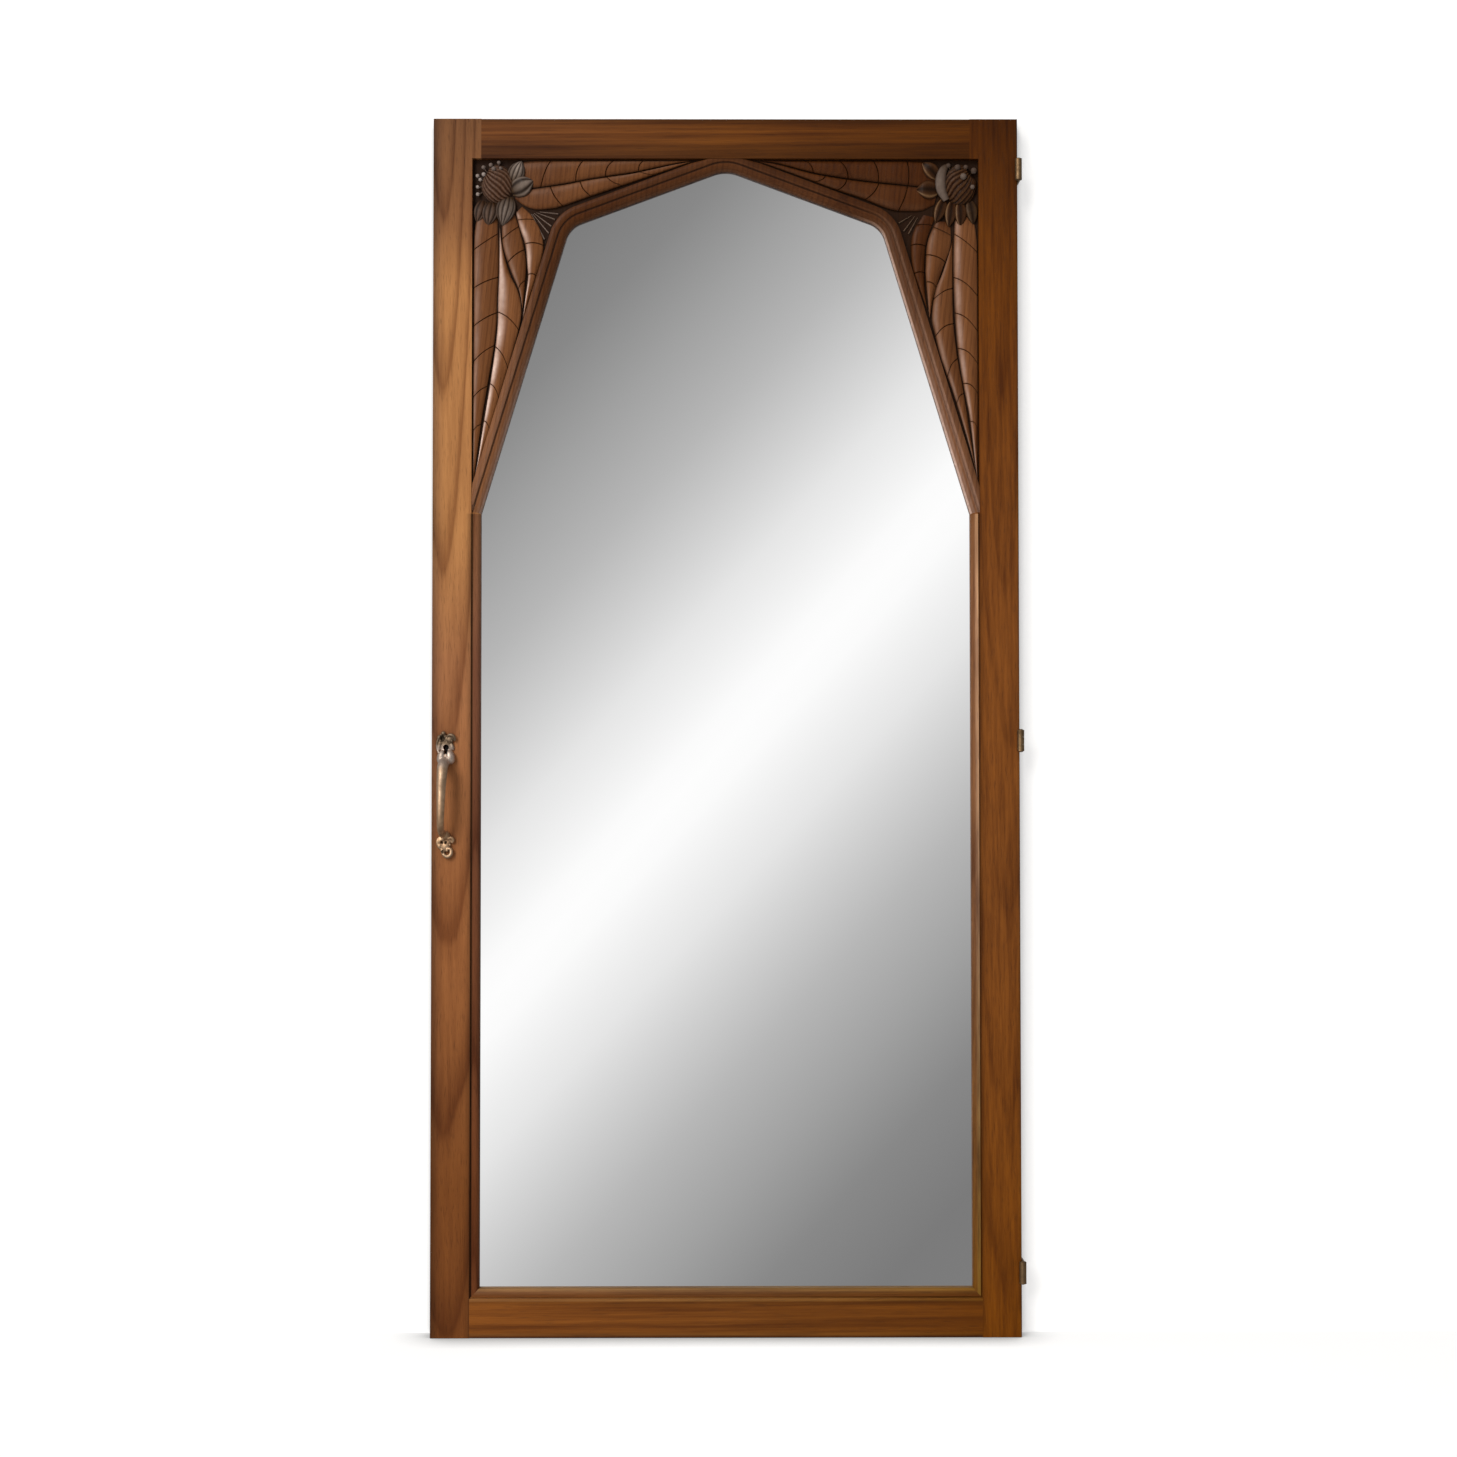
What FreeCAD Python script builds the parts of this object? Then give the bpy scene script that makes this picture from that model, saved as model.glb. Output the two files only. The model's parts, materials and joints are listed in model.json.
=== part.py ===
import FreeCAD, Part
import math
import os
import re

import Sketcher
from FreeCAD import Placement, Rotation, Vector

# Driving sizes of the mirrored wardrobe door, in millimetres
SIZES = {
    # Door frame
    "door_height": 1750,
    "door_width": 844,
    "door_thickness": 30,
    "stile_face": 56,
    "top_rail_face": 57.5,
    "bottom_rail_face": 55.5,
    "arris_radius": 1.5,
    # Moulding worked on the inner edges, and the lip that it leaves in front of the glass
    "moulding_width": 13,
    "lip_depth": 14,
    "quirk_width": 2.4,
    "quirk_depth": 3,
    "ovolo_set": 1.2,
    "ovolo_fall": 8.5,
    # Mortise and tenon joints
    "tenon_length": 42,
    "tenon_thickness": 10,
    "tenon_set": 8,
    "mortise_gap": 1,
    "peg_radius": 4,
    "peg_length": 24,
    "peg_from_shoulder": 20,
    "peg_spacing": 20,
    # Clearance of pegs, screws and let-in metal, and the overrun of every cut
    "fit_gap": 0.1,
    "overrun": 5,
    # Carved spandrels: sight edge below the top rail, border bead, sunk field and tongues
    "knee_drop": 514.5,
    "shoulder_half_span": 225.5,
    "shoulder_drop": 97.5,
    "apex_drop": 13.5,
    "shoulder_radius": 36,
    "apex_radius": 50,
    "border_width": 11,
    "border_set": 0.6,
    "border_edge": 2.2,
    "field_depth": 9,
    "tongue_thickness": 4,
    "tongue_depth": 6,
    "tongue_gap": 0.2,
    # Carved leaves and flower, heights above the sunk field
    "leaf_gap": 1.2,
    "leaf_edge": 2.5,
    "leaf_rise": 7,
    "carving_root": 1,
    "bud_from_stile": 31,
    "bud_from_rail": 38,
    "bud_radius": 24,
    "bud_rise": 11,
    "petal_length": 21,
    "petal_width": 20,
    "petal_rise": 7.5,
    # Mirror glass and the blocks that hold it
    "glass_thickness": 5,
    "glass_edge_gap": 3,
    "setting_block_length": 60,
    "block_width": 12,
    "block_length": 45,
    "block_slope": 4,
    # Back boards
    "board_thickness": 6,
    "board_rebate": 10,
    "board_gap": 0.5,
    "lap_width": 9,
    "back_screw_head": 3.2,
    "back_screw_sink": 1.8,
    "back_screw_radius": 1.5,
    "back_screw_length": 16,
    # Butt hinges
    "top_hinge_drop": 74.5,
    "middle_hinge_height": 850.5,
    "bottom_hinge_height": 92.5,
    "hinge_height": 30.6,
    "barrel_radius": 5,
    "barrel_clearance": 0.3,
    "knuckle_gap": 0.3,
    "hinge_pin_radius": 2.5,
    "hinge_pin_fit": 0.05,
    "pin_head_radius": 3.6,
    "pin_head_top_radius": 2.2,
    "pin_head_rise": 1.2,
    "hinge_leaf_thickness": 2.2,
    "hinge_leaf_depth": 22,
    "hinge_leaf_spread": 1.5,
    "hinge_screw_from_front": 13,
    "hinge_screw_spacing": 16,
    "hinge_screw_head": 3.2,
    "hinge_screw_sink": 1.4,
    "hinge_screw_radius": 1.7,
    "hinge_screw_length": 18,
    # Cast pull with its keyhole
    "handle_inset": 21,
    "keyhole_height": 841,
    "keyhole_radius": 4.2,
    "key_slot_width": 5.6,
    "key_slot_drop": 9.5,
    "flower_width": 30,
    "flower_rise": 23.5,
    "flower_relief": 5,
    "calyx_drop": 24,
    "calyx_relief": 13,
    "bow_drop": 123,
    "bow_reach": 34,
    "bow_top_radius": 6,
    "bow_radius": 4.5,
    "foot_width": 27,
    "foot_drop": 161,
    "foot_relief": 5,
    "handle_pin_radius": 0.8,
    "handle_pin_head": 1.5,
    "handle_pin_length": 12,
    # Half-mortise lock
    "lock_width": 36,
    "lock_height": 70,
    "lock_depth": 14,
    "lock_plate_thickness": 2,
    "selvedge_thickness": 2.5,
    "selvedge_width": 16,
    "case_width": 31,
    "case_height": 52,
    "case_wall": 1.5,
    "bolt_rise": 6,
    "bolt_height": 14,
    "bolt_thickness": 6,
    "bolt_length": 27,
    "bolt_throw": 8,
    "bolt_gap": 0.25,
    "guide_from_edge": 12,
    "guide_radius": 2,
    "talon_depth": 4,
    "talon_width": 8,
    "spring_thickness": 0.8,
    "spring_width": 4,
    "spring_lift": 0.9,
    "notch_radius": 1.8,
    "nib_radius": 1.4,
    "notch_from_edge": 9,
    "anchor_length": 4,
    "lock_screw_head": 3,
    "lock_screw_sink": 1.6,
    "lock_screw_radius": 1.4,
    "lock_screw_length": 12,
    "lock_screw_inset": 8,
    "lock_screw_margin": 4.5,
}

# Places that several pieces share, as sums of the driving sizes
HALF = "(door_width / 2)"
FLAT = "(door_width / 2 - stile_face)"
SIGHT = "(door_width / 2 - stile_face - moulding_width)"
FRONT = "(-door_thickness / 2)"
BACK = "(door_thickness / 2)"
GLASS_FRONT = "(lip_depth - door_thickness / 2)"
GLASS_BACK = "(lip_depth + glass_thickness - door_thickness / 2)"
BOARD_FRONT = "(door_thickness / 2 - board_thickness)"
SILL = "bottom_rail_face"
HEAD = "(door_height - top_rail_face)"
KNEE = f"({HEAD} - knee_drop)"
LEAN = f"atan(({SIGHT} - shoulder_half_span) / (knee_drop - shoulder_drop))"
KNEE_TOP = f"({KNEE} + moulding_width * tan({LEAN} / 2))"
OVOLO_RADIUS = (
    "(((moulding_width - quirk_width)^2 + (ovolo_fall - ovolo_set)^2)"
    " / (2 * (ovolo_fall - ovolo_set)))"
)
HINGE_X = "(door_width / 2 + hinge_leaf_spread / 2)"
HINGE_Y = "(-door_thickness / 2 - barrel_radius - barrel_clearance)"
HINGES = {
    "top": "(door_height - top_hinge_drop)",
    "middle": "middle_hinge_height",
    "bottom": "bottom_hinge_height",
}
KEY_X = "(handle_inset - door_width / 2)"
KEY_Z = "keyhole_height"
BOLT_LOW = "(keyhole_height + bolt_rise)"
BOLT_TOP = "(keyhole_height + bolt_rise + bolt_height)"
BOLT_BACK = "(door_thickness / 2 - lock_plate_thickness - bolt_gap)"

TURNS = {
    "+X": Rotation(Vector(0, 1, 0), 90),
    "-X": Rotation(Vector(0, 1, 0), -90),
    "+Y": Rotation(Vector(1, 0, 0), -90),
    "-Y": Rotation(Vector(1, 0, 0), 90),
    "+Z": Rotation(),
    "-Z": Rotation(Vector(1, 0, 0), 180),
}

doc = FreeCAD.newDocument("mirror_door")
sheet = doc.addObject("Spreadsheet::Sheet", "Sizes")
for row, (alias, value) in enumerate(SIZES.items(), start=1):
    sheet.set(f"A{row}", str(value))
    sheet.setAlias(f"A{row}", alias)
doc.recompute()


def cells(text):
    """A sum of size names, with each name pointed at its cell."""
    return re.sub(r"[a-z_]+", lambda word: "Sizes." + word[0] if word[0] in SIZES else word[0], text)


def number(text):
    return float(sheet.evalExpression(text))


def minus(text):
    return f"-({text})"


def place(item, spot):
    for axis, text in zip("xyz", spot):
        item.setExpression("Placement.Base." + axis, cells(text))


def block(name, x_span, y_span, z_span):
    item = doc.addObject("Part::Box", name)
    for side, (low, high) in zip(("Length", "Width", "Height"), (x_span, y_span, z_span)):
        item.setExpression(side, cells(f"({high}) - ({low})"))
    place(item, (x_span[0], y_span[0], z_span[0]))
    return item


def rod(name, radius, length, foot, along):
    item = doc.addObject("Part::Cylinder", name)
    item.setExpression("Radius", cells(radius))
    item.setExpression("Height", cells(length))
    item.Placement = Placement(Vector(), TURNS[along])
    place(item, foot)
    return item


def cone(name, foot_radius, end_radius, length, foot, along):
    item = doc.addObject("Part::Cone", name)
    item.setExpression("Radius1", cells(foot_radius))
    item.setExpression("Radius2", cells(end_radius))
    item.setExpression("Height", cells(length))
    item.Placement = Placement(Vector(), TURNS[along])
    place(item, foot)
    return item


def joined(name, pieces):
    item = doc.addObject("Part::MultiFuse", name)
    item.Shapes = pieces
    return item


def group(name, pieces):
    item = doc.addObject("Part::Compound", name)
    item.Links = pieces
    return item


def cut(name, base, tools):
    item = doc.addObject("Part::Cut", name)
    item.Base = base
    item.Tool = group(name + "_cuts", tools)
    return item


def mirrored(name, source):
    item = doc.addObject("Part::Mirroring", name)
    item.Source = source
    item.Normal = Vector(1, 0, 0)
    return item


def carved(name, shape):
    item = doc.addObject("Part::Feature", name)
    item.Shape = shape
    return item


def sketch(body, name, plane, corners, lift="0", arcs=None):
    """A closed outline through corners; arcs gives {corner: (radius, turn)} for the rounded runs."""
    item = body.newObject("Sketcher::SketchObject", name)
    support = [part for part in body.Origin.OriginFeatures if part.Role == plane][0]
    item.AttachmentSupport = [(support, "")]
    item.MapMode = "FlatFace"
    item.setExpression("AttachmentOffset.Base.z", cells(lift))
    spots = [Vector(number(across), number(up), 0) for across, up in corners]
    ends = []
    for here, spot in enumerate(spots):
        there = spots[(here + 1) % len(spots)]
        if here in (arcs or {}):
            radius, turn = arcs[here]
            item.addGeometry(bend(spot, there, number(radius), turn))
            ends.append((1, 2) if turn > 0 else (2, 1))
        else:
            item.addGeometry(Part.LineSegment(spot, there))
            ends.append((1, 2))
    for here, corner in enumerate(corners):
        after = (here + 1) % len(corners)
        item.addConstraint(Sketcher.Constraint("Coincident", here, ends[here][1], after, ends[after][0]))
        for kind, text in zip(("DistanceX", "DistanceY"), corner):
            constraint = Sketcher.Constraint(kind, -1, 1, here, ends[here][0], number(text))
            item.setExpression(f"Constraints[{item.addConstraint(constraint)}]", cells(text))
    for here, (radius, turn) in (arcs or {}).items():
        constraint = Sketcher.Constraint("Radius", here, number(radius))
        item.setExpression(f"Constraints[{item.addConstraint(constraint)}]", cells(radius))
    return item


def bend(start, end, radius, turn):
    """The short arc from start to end: turn 1 runs anticlockwise, -1 clockwise."""
    chord = end - start
    side = Vector(-chord.y, chord.x, 0).normalize() * turn
    centre = (start + end) * 0.5 + side * math.sqrt(radius**2 - chord.Length**2 / 4)
    first, last = (start, end) if turn > 0 else (end, start)
    angles = [math.atan2(spot.y - centre.y, spot.x - centre.x) for spot in (first, last)]
    return Part.ArcOfCircle(Part.Circle(centre, Vector(0, 0, 1), radius), *angles)


def pad(body, profile, length):
    item = body.newObject("PartDesign::Pad", profile.Name + "_pad")
    item.Profile = profile
    item.setExpression("Length", cells(length))
    doc.recompute()
    return item


def pocket(body, profile, depth):
    """Cuts along the outline's own normal, and stops if nothing was cut."""
    before = body.Shape.Volume
    item = body.newObject("PartDesign::Pocket", profile.Name + "_pocket")
    item.Profile = profile
    item.Reversed = True
    item.setExpression("Length", cells(depth))
    doc.recompute()
    if body.Shape.Volume >= before:
        raise RuntimeError(f"{item.Name} cuts nothing")
    return item


def rectangle(x_span, z_span):
    return [(x_span[0], z_span[0]), (x_span[1], z_span[0]), (x_span[1], z_span[1]), (x_span[0], z_span[1])]


def ease_front_arris(body, name, on_arris):
    """Rounds the front edges that on_arris picks by their two ends."""
    tip = body.Tip
    edges = [
        f"Edge{count}"
        for count, edge in enumerate(body.Shape.Edges, start=1)
        if len(edge.Vertexes) == 2 and all(on_arris(corner.Point) for corner in edge.Vertexes)
    ]
    item = body.newObject("PartDesign::Fillet", name)
    item.Base = (tip, edges)
    item.setExpression("Radius", cells("arris_radius"))
    doc.recompute()


def near(value, text):
    return abs(value - number(text)) < number("fit_gap")


# Frame of stiles and rails


def make_stile_blank():
    body = doc.addObject("PartDesign::Body", "stile_blank")
    outer, flat, sight = minus(HALF), minus(FLAT), minus(SIGHT)
    face = [
        (outer, "0"),
        (flat, "0"),
        (flat, SILL),
        (sight, f"{SILL} + moulding_width"),
        (sight, KNEE),
        (flat, KNEE_TOP),
        (flat, HEAD),
        (sight, HEAD),
        (sight, "door_height"),
        (outer, "door_height"),
    ]
    pad(body, sketch(body, "stile_face_outline", "XZ_Plane", face, minus(BACK)), "door_thickness")
    ease_front_arris(
        body, "stile_arris", lambda point: near(point.x, minus(HALF)) and near(point.y, FRONT)
    )
    glass = rectangle((flat, f"{sight} + overrun"), ("-overrun", HEAD))
    rebate = sketch(body, "stile_glass_rebate", "XZ_Plane", glass, minus(BACK))
    pocket(body, rebate, "door_thickness - lip_depth")
    boards = rectangle(
        (f"{flat} - board_rebate", f"{sight} + overrun"),
        (f"{SILL} - board_rebate", f"{HEAD} + board_rebate"),
    )
    pocket(body, sketch(body, "stile_board_rebate", "XZ_Plane", boards, minus(BACK)), "board_thickness")
    moulding = [
        (flat, f"{FRONT} - overrun"),
        (flat, f"{FRONT} + quirk_depth"),
        (f"{flat} + quirk_width", f"{FRONT} + quirk_depth"),
        (f"{flat} + quirk_width", f"{FRONT} + ovolo_set"),
        (sight, f"{FRONT} + ovolo_fall"),
        (f"{sight} + overrun", f"{FRONT} + ovolo_fall"),
        (f"{sight} + overrun", f"{FRONT} - overrun"),
    ]
    profile = sketch(body, "stile_moulding", "XY_Plane", moulding, "0", {3: (OVOLO_RADIUS, 1)})
    pocket(body, profile, HEAD)
    return body


def make_rail(name, face, tenon_x, tenon_z, rebate):
    body = doc.addObject("PartDesign::Body", name + "_blank")
    pad(body, sketch(body, name + "_outline", "XZ_Plane", face, minus(BACK)), "door_thickness")
    end = max(number(x) for x, z in face)
    edge = max(number(z) for x, z in face) if name == "top_rail" else 0
    ease_front_arris(
        body,
        name + "_arris",
        lambda point: near(abs(point.x), str(end)) and near(point.z, str(edge)) and near(point.y, FRONT),
    )
    tenon = rectangle((minus(tenon_x), tenon_x), tenon_z)
    pad(body, sketch(body, name + "_tenons", "XZ_Plane", tenon, "-tenon_thickness / 2"), "tenon_thickness")
    pocket(body, sketch(body, name + "_board_rebate", "XZ_Plane", rebate, minus(BACK)), "board_thickness")
    return body


def make_top_rail():
    face = rectangle((minus(SIGHT), SIGHT), (HEAD, "door_height"))
    across = (f"-({SIGHT} + overrun)", f"{SIGHT} + overrun")
    rebate = rectangle(across, (f"{HEAD} - overrun", f"{HEAD} + board_rebate"))
    tenon_z = (f"{HEAD} + tenon_set", "door_height - tenon_set")
    return make_rail("top_rail", face, f"{SIGHT} + tenon_length", tenon_z, rebate)


def make_bottom_rail():
    face = [
        (minus(FLAT), "0"),
        (FLAT, "0"),
        (FLAT, SILL),
        (SIGHT, f"{SILL} + moulding_width"),
        (minus(SIGHT), f"{SILL} + moulding_width"),
        (minus(FLAT), SILL),
    ]
    across = (f"-({FLAT} + overrun)", f"{FLAT} + overrun")
    boards = rectangle(across, (f"{SILL} - board_rebate", f"{SILL} + moulding_width + overrun"))
    tenon_z = ("tenon_set", f"{SILL} - tenon_set")
    body = make_rail("bottom_rail", face, f"{FLAT} + tenon_length", tenon_z, boards)
    glass = rectangle(across, (SILL, f"{SILL} + moulding_width + overrun"))
    rebate = sketch(body, "rail_glass_rebate", "XZ_Plane", glass, minus(BACK))
    pocket(body, rebate, "door_thickness - lip_depth")
    moulding = [
        (f"{FRONT} - overrun", SILL),
        (f"{FRONT} + quirk_depth", SILL),
        (f"{FRONT} + quirk_depth", f"{SILL} + quirk_width"),
        (f"{FRONT} + ovolo_set", f"{SILL} + quirk_width"),
        (f"{FRONT} + ovolo_fall", f"{SILL} + moulding_width"),
        (f"{FRONT} + ovolo_fall", f"{SILL} + moulding_width + overrun"),
        (f"{FRONT} - overrun", f"{SILL} + moulding_width + overrun"),
    ]
    profile = sketch(body, "rail_moulding", "YZ_Plane", moulding, across[0], {3: (OVOLO_RADIUS, -1)})
    pocket(body, profile, f"2 * ({FLAT} + overrun)")
    return body


def peg_places():
    """Two pegs through each tenon, as (name, x, z)."""
    places = []
    for end, shoulder, middle in (
        ("top", SIGHT, f"({HEAD} + top_rail_face / 2)"),
        ("bottom", FLAT, f"({SILL} / 2)"),
    ):
        for side, sign in (("left", "-"), ("right", "")):
            for step, shift in (("low", "-"), ("high", "+")):
                spot = (f"{sign}({shoulder} + peg_from_shoulder)", f"{middle} {shift} peg_spacing / 2")
                places.append((f"{end}_{side}_{step}", *spot))
    return places


def peg_holes(owner, wanted):
    return [
        rod(f"{owner}_{name}_peg_hole", "peg_radius + fit_gap", "peg_length + fit_gap", (x, BACK, z), "-Y")
        for name, x, z in peg_places()
        if wanted in name
    ]


def make_pegs():
    return group(
        "tenon_pegs",
        [rod(f"{name}_peg", "peg_radius", "peg_length", (x, BACK, z), "-Y") for name, x, z in peg_places()],
    )


def screw(name, kind, foot, along, grow="0"):
    """A countersunk screw, or its hole where grow is a clearance."""
    head = cone(
        name + "_head", f"{kind}_head + {grow}", f"{kind}_radius + {grow}", f"{kind}_sink", foot, along
    )
    shank = rod(name + "_shank", f"{kind}_radius + {grow}", f"{kind}_length + {grow}", foot, along)
    return joined(name, [head, shank])


def side_span(side, near_text, far_text):
    """The x span on the left or right of the door between two distances from its middle."""
    if side == "left":
        return (minus(far_text), minus(near_text))
    return (near_text, far_text)


def joint_cuts(side):
    """Groove of the spandrel's tongue, mortises and peg holes in one stile."""
    middle = ("-tenon_thickness / 2", "tenon_thickness / 2")
    return [
        block(
            f"{side}_tongue_groove",
            side_span(side, FLAT, f"{FLAT} + tongue_depth + tongue_gap"),
            (f"{GLASS_FRONT} - tongue_thickness - tongue_gap", f"{GLASS_FRONT} + tongue_gap"),
            (KNEE_TOP, HEAD),
        ),
        block(
            f"{side}_top_mortise",
            side_span(side, SIGHT, f"{SIGHT} + tenon_length + mortise_gap"),
            middle,
            (f"{HEAD} + tenon_set", "door_height - tenon_set"),
        ),
        block(
            f"{side}_bottom_mortise",
            side_span(side, FLAT, f"{FLAT} + tenon_length + mortise_gap"),
            middle,
            ("tenon_set", f"{SILL} - tenon_set"),
        ),
        *peg_holes(f"{side}_stile", f"_{side}_"),
    ]


def keyhole(name, y_near, y_far):
    length = f"({y_far}) - ({y_near})"
    eye = rod(name + "_eye", "keyhole_radius", length, (KEY_X, y_far, KEY_Z), "-Y")
    slot = block(
        name + "_slot",
        (f"{KEY_X} - key_slot_width / 2", f"{KEY_X} + key_slot_width / 2"),
        (y_near, y_far),
        (f"{KEY_Z} - key_slot_drop", KEY_Z),
    )
    return joined(name, [eye, slot])


def make_left_stile(blank):
    edge = minus(HALF)
    plate_z = (f"{KEY_Z} - lock_height / 2 - fit_gap", f"{KEY_Z} + lock_height / 2 + fit_gap")
    lock_bed = joined(
        "lock_bed",
        [
            block(
                "lock_plate_bed",
                (f"{edge} - overrun", f"{edge} + lock_width + fit_gap"),
                (f"{BACK} - lock_plate_thickness", f"{BACK} + overrun"),
                plate_z,
            ),
            block(
                "selvedge_bed",
                (f"{edge} - overrun", f"{edge} + selvedge_thickness"),
                (f"{BACK} - selvedge_width - fit_gap", f"{BACK} + overrun"),
                plate_z,
            ),
            block(
                "lock_case_bed",
                (f"{edge} - overrun", f"{edge} + case_width + fit_gap"),
                (f"{BACK} - lock_depth", f"{BACK} + overrun"),
                (f"{KEY_Z} - case_height / 2 - fit_gap", f"{KEY_Z} + case_height / 2 + fit_gap"),
            ),
            keyhole("stile_keyhole", f"{FRONT} - overrun", f"{BACK} - lock_depth + overrun"),
            *[
                screw(f"lock_screw_{count}_pilot", "lock_screw", spot, "-Y", "fit_gap")
                for count, spot in enumerate(lock_screw_places())
            ],
        ],
    )
    pins = [
        rod(
            f"handle_pin_{count}_pilot",
            "handle_pin_radius + fit_gap",
            "handle_pin_length + fit_gap",
            (x, FRONT, z),
            "+Y",
        )
        for count, (x, z) in enumerate(handle_pin_places())
    ]
    screws = back_screw_holes("left_stile", "left")
    return cut("left_stile", blank, joint_cuts("left") + [lock_bed] + pins + screws)


def make_right_stile(blank):
    gains = []
    for name, height in HINGES.items():
        leaf = block(
            f"{name}_hinge_gain",
            (f"{HALF} - hinge_leaf_thickness", f"{HALF} + overrun"),
            (f"{FRONT} - overrun", f"{FRONT} + hinge_leaf_depth + fit_gap"),
            (f"{height} - hinge_height / 2 - fit_gap", f"{height} + hinge_height / 2 + fit_gap"),
        )
        pilots = [
            screw(f"{name}_hinge_{count}_pilot", "hinge_screw", spot, "-X", "fit_gap")
            for count, spot in enumerate(hinge_screw_places(height, HALF))
        ]
        gains.append(joined(f"{name}_hinge_bed", [leaf, *pilots]))
    screws = back_screw_holes("right_stile", "right")
    return cut("right_stile", mirrored("right_stile_blank", blank), joint_cuts("right") + gains + screws)


def make_rails():
    groove = block(
        "head_groove",
        (minus(SIGHT), SIGHT),
        (f"{GLASS_FRONT} - tongue_thickness - tongue_gap", f"{GLASS_FRONT} + tongue_gap"),
        (HEAD, f"{HEAD} + tongue_depth + tongue_gap"),
    )
    top_holes = peg_holes("top_rail", "top_") + back_screw_holes("top_rail", "head")
    bottom_holes = peg_holes("bottom_rail", "bottom_") + back_screw_holes("bottom_rail", "sill")
    return [
        cut("top_rail", make_top_rail(), [groove, *top_holes]),
        cut("bottom_rail", make_bottom_rail(), bottom_holes),
    ]


# Carved spandrels. A point here is (x, z) on the door's face, left of the middle line.


class SightEdge:
    """The edge of the visible glass from the knee over the shoulder to the middle of the head."""

    def __init__(self):
        head = number(HEAD)
        self.knee = Vector(-number(SIGHT), 0, number(KNEE))
        self.shoulder = Vector(-number("shoulder_half_span"), 0, head - number("shoulder_drop"))
        self.apex = Vector(0, 0, head - number("apex_drop"))
        self.lower_run = (self.shoulder - self.knee).normalize()
        self.upper_run = (self.apex - self.shoulder).normalize()

    def outward(self, run):
        return Vector(-run.z, 0, run.x)

    def edges(self, offset, lead):
        """The path moved outward by offset, started lead before the knee and ended lead past the middle."""
        low_side, high_side = self.outward(self.lower_run), self.outward(self.upper_run)
        spread = low_side + high_side
        corner = self.shoulder + spread * (offset / (1 + low_side.dot(high_side)))
        turn = self.lower_run.getAngle(self.upper_run)
        radius = number("shoulder_radius") + offset
        reach = radius * math.tan(turn / 2)
        bend_start = corner - self.lower_run * reach
        bend_end = corner + self.upper_run * reach
        bend_middle = bend_start - low_side * radius + spread.normalize() * radius
        slope = math.atan2(self.upper_run.z, self.upper_run.x)
        head_radius = number("apex_radius") + offset
        peak = self.apex + Vector(0, 0, offset / math.cos(slope))
        head_start = peak - self.upper_run * (head_radius * math.tan(slope))
        head = peak - Vector(0, 0, head_radius * (1 / math.cos(slope) - 1))
        centre = head - Vector(0, 0, head_radius)
        head_middle = centre + Vector(-math.sin(slope / 2), 0, math.cos(slope / 2)) * head_radius
        start = self.knee + low_side * offset - self.lower_run * lead
        edges = [
            Part.LineSegment(start, bend_start).toShape(),
            Part.Arc(bend_start, bend_middle, bend_end).toShape(),
            Part.LineSegment(bend_end, head_start).toShape(),
            Part.Arc(head_start, head_middle, head).toShape(),
        ]
        if lead:
            edges.append(Part.LineSegment(head, head + Vector(lead, 0, 0)).toShape())
        return edges, start, edges[-1].Vertexes[-1].Point


def prism(edges, y_near, y_far):
    """The solid between two depths over a closed run of edges drawn at depth zero."""
    face = Part.Face(Part.Wire(edges))
    face.translate(Vector(0, y_near, 0))
    return face.extrude(Vector(0, y_far - y_near, 0))


def closed(edges, start, end, corners):
    """The run of edges closed through more corners, from its end back to its start."""
    loop = [end, *corners, start]
    return edges + [Part.LineSegment(first, last).toShape() for first, last in zip(loop, loop[1:])]


def field_prism(sight, inset, y_near, y_far):
    """The sunk field between stile, head and border, drawn in by inset on all sides."""
    lead = number("door_thickness")
    border = number("moulding_width + border_width") + inset
    edges, start, end = sight.edges(border, lead)
    left = -number(FLAT) + inset
    head = number(HEAD) - inset
    outside = [
        Vector(end.x, 0, head + lead),
        Vector(left - lead, 0, head + lead),
        Vector(left - lead, 0, start.z),
    ]
    beyond = prism(closed(edges, start, end, outside), y_near, y_far)
    tall = number("door_height")
    window = Part.makeBox(-left, y_far - y_near, tall, Vector(left, y_near, head - tall))
    return beyond.common(window)


def spandrel_board(sight):
    """The flat board with its mitred foot, square head and tongues."""
    edges, knee, head = sight.edges(0, 0)
    flat = -number(FLAT)
    corners = [Vector(0, 0, number(HEAD)), Vector(flat, 0, number(HEAD)), Vector(flat, 0, number(KNEE_TOP))]
    board = prism(closed(edges, knee, head, corners), number(FRONT), number(GLASS_FRONT))
    thick, deep, loose = number("tongue_thickness"), number("tongue_depth"), number("tongue_gap")
    tongue_y = number(GLASS_FRONT) - thick
    foot = number(KNEE_TOP) + loose
    side = Part.makeBox(deep, thick, number(HEAD) - loose - foot, Vector(flat - deep, tongue_y, foot))
    start = -number(SIGHT) + loose
    top = Part.makeBox(-start, thick, deep, Vector(start, tongue_y, number(HEAD)))
    return board.fuse([side, top])


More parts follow.
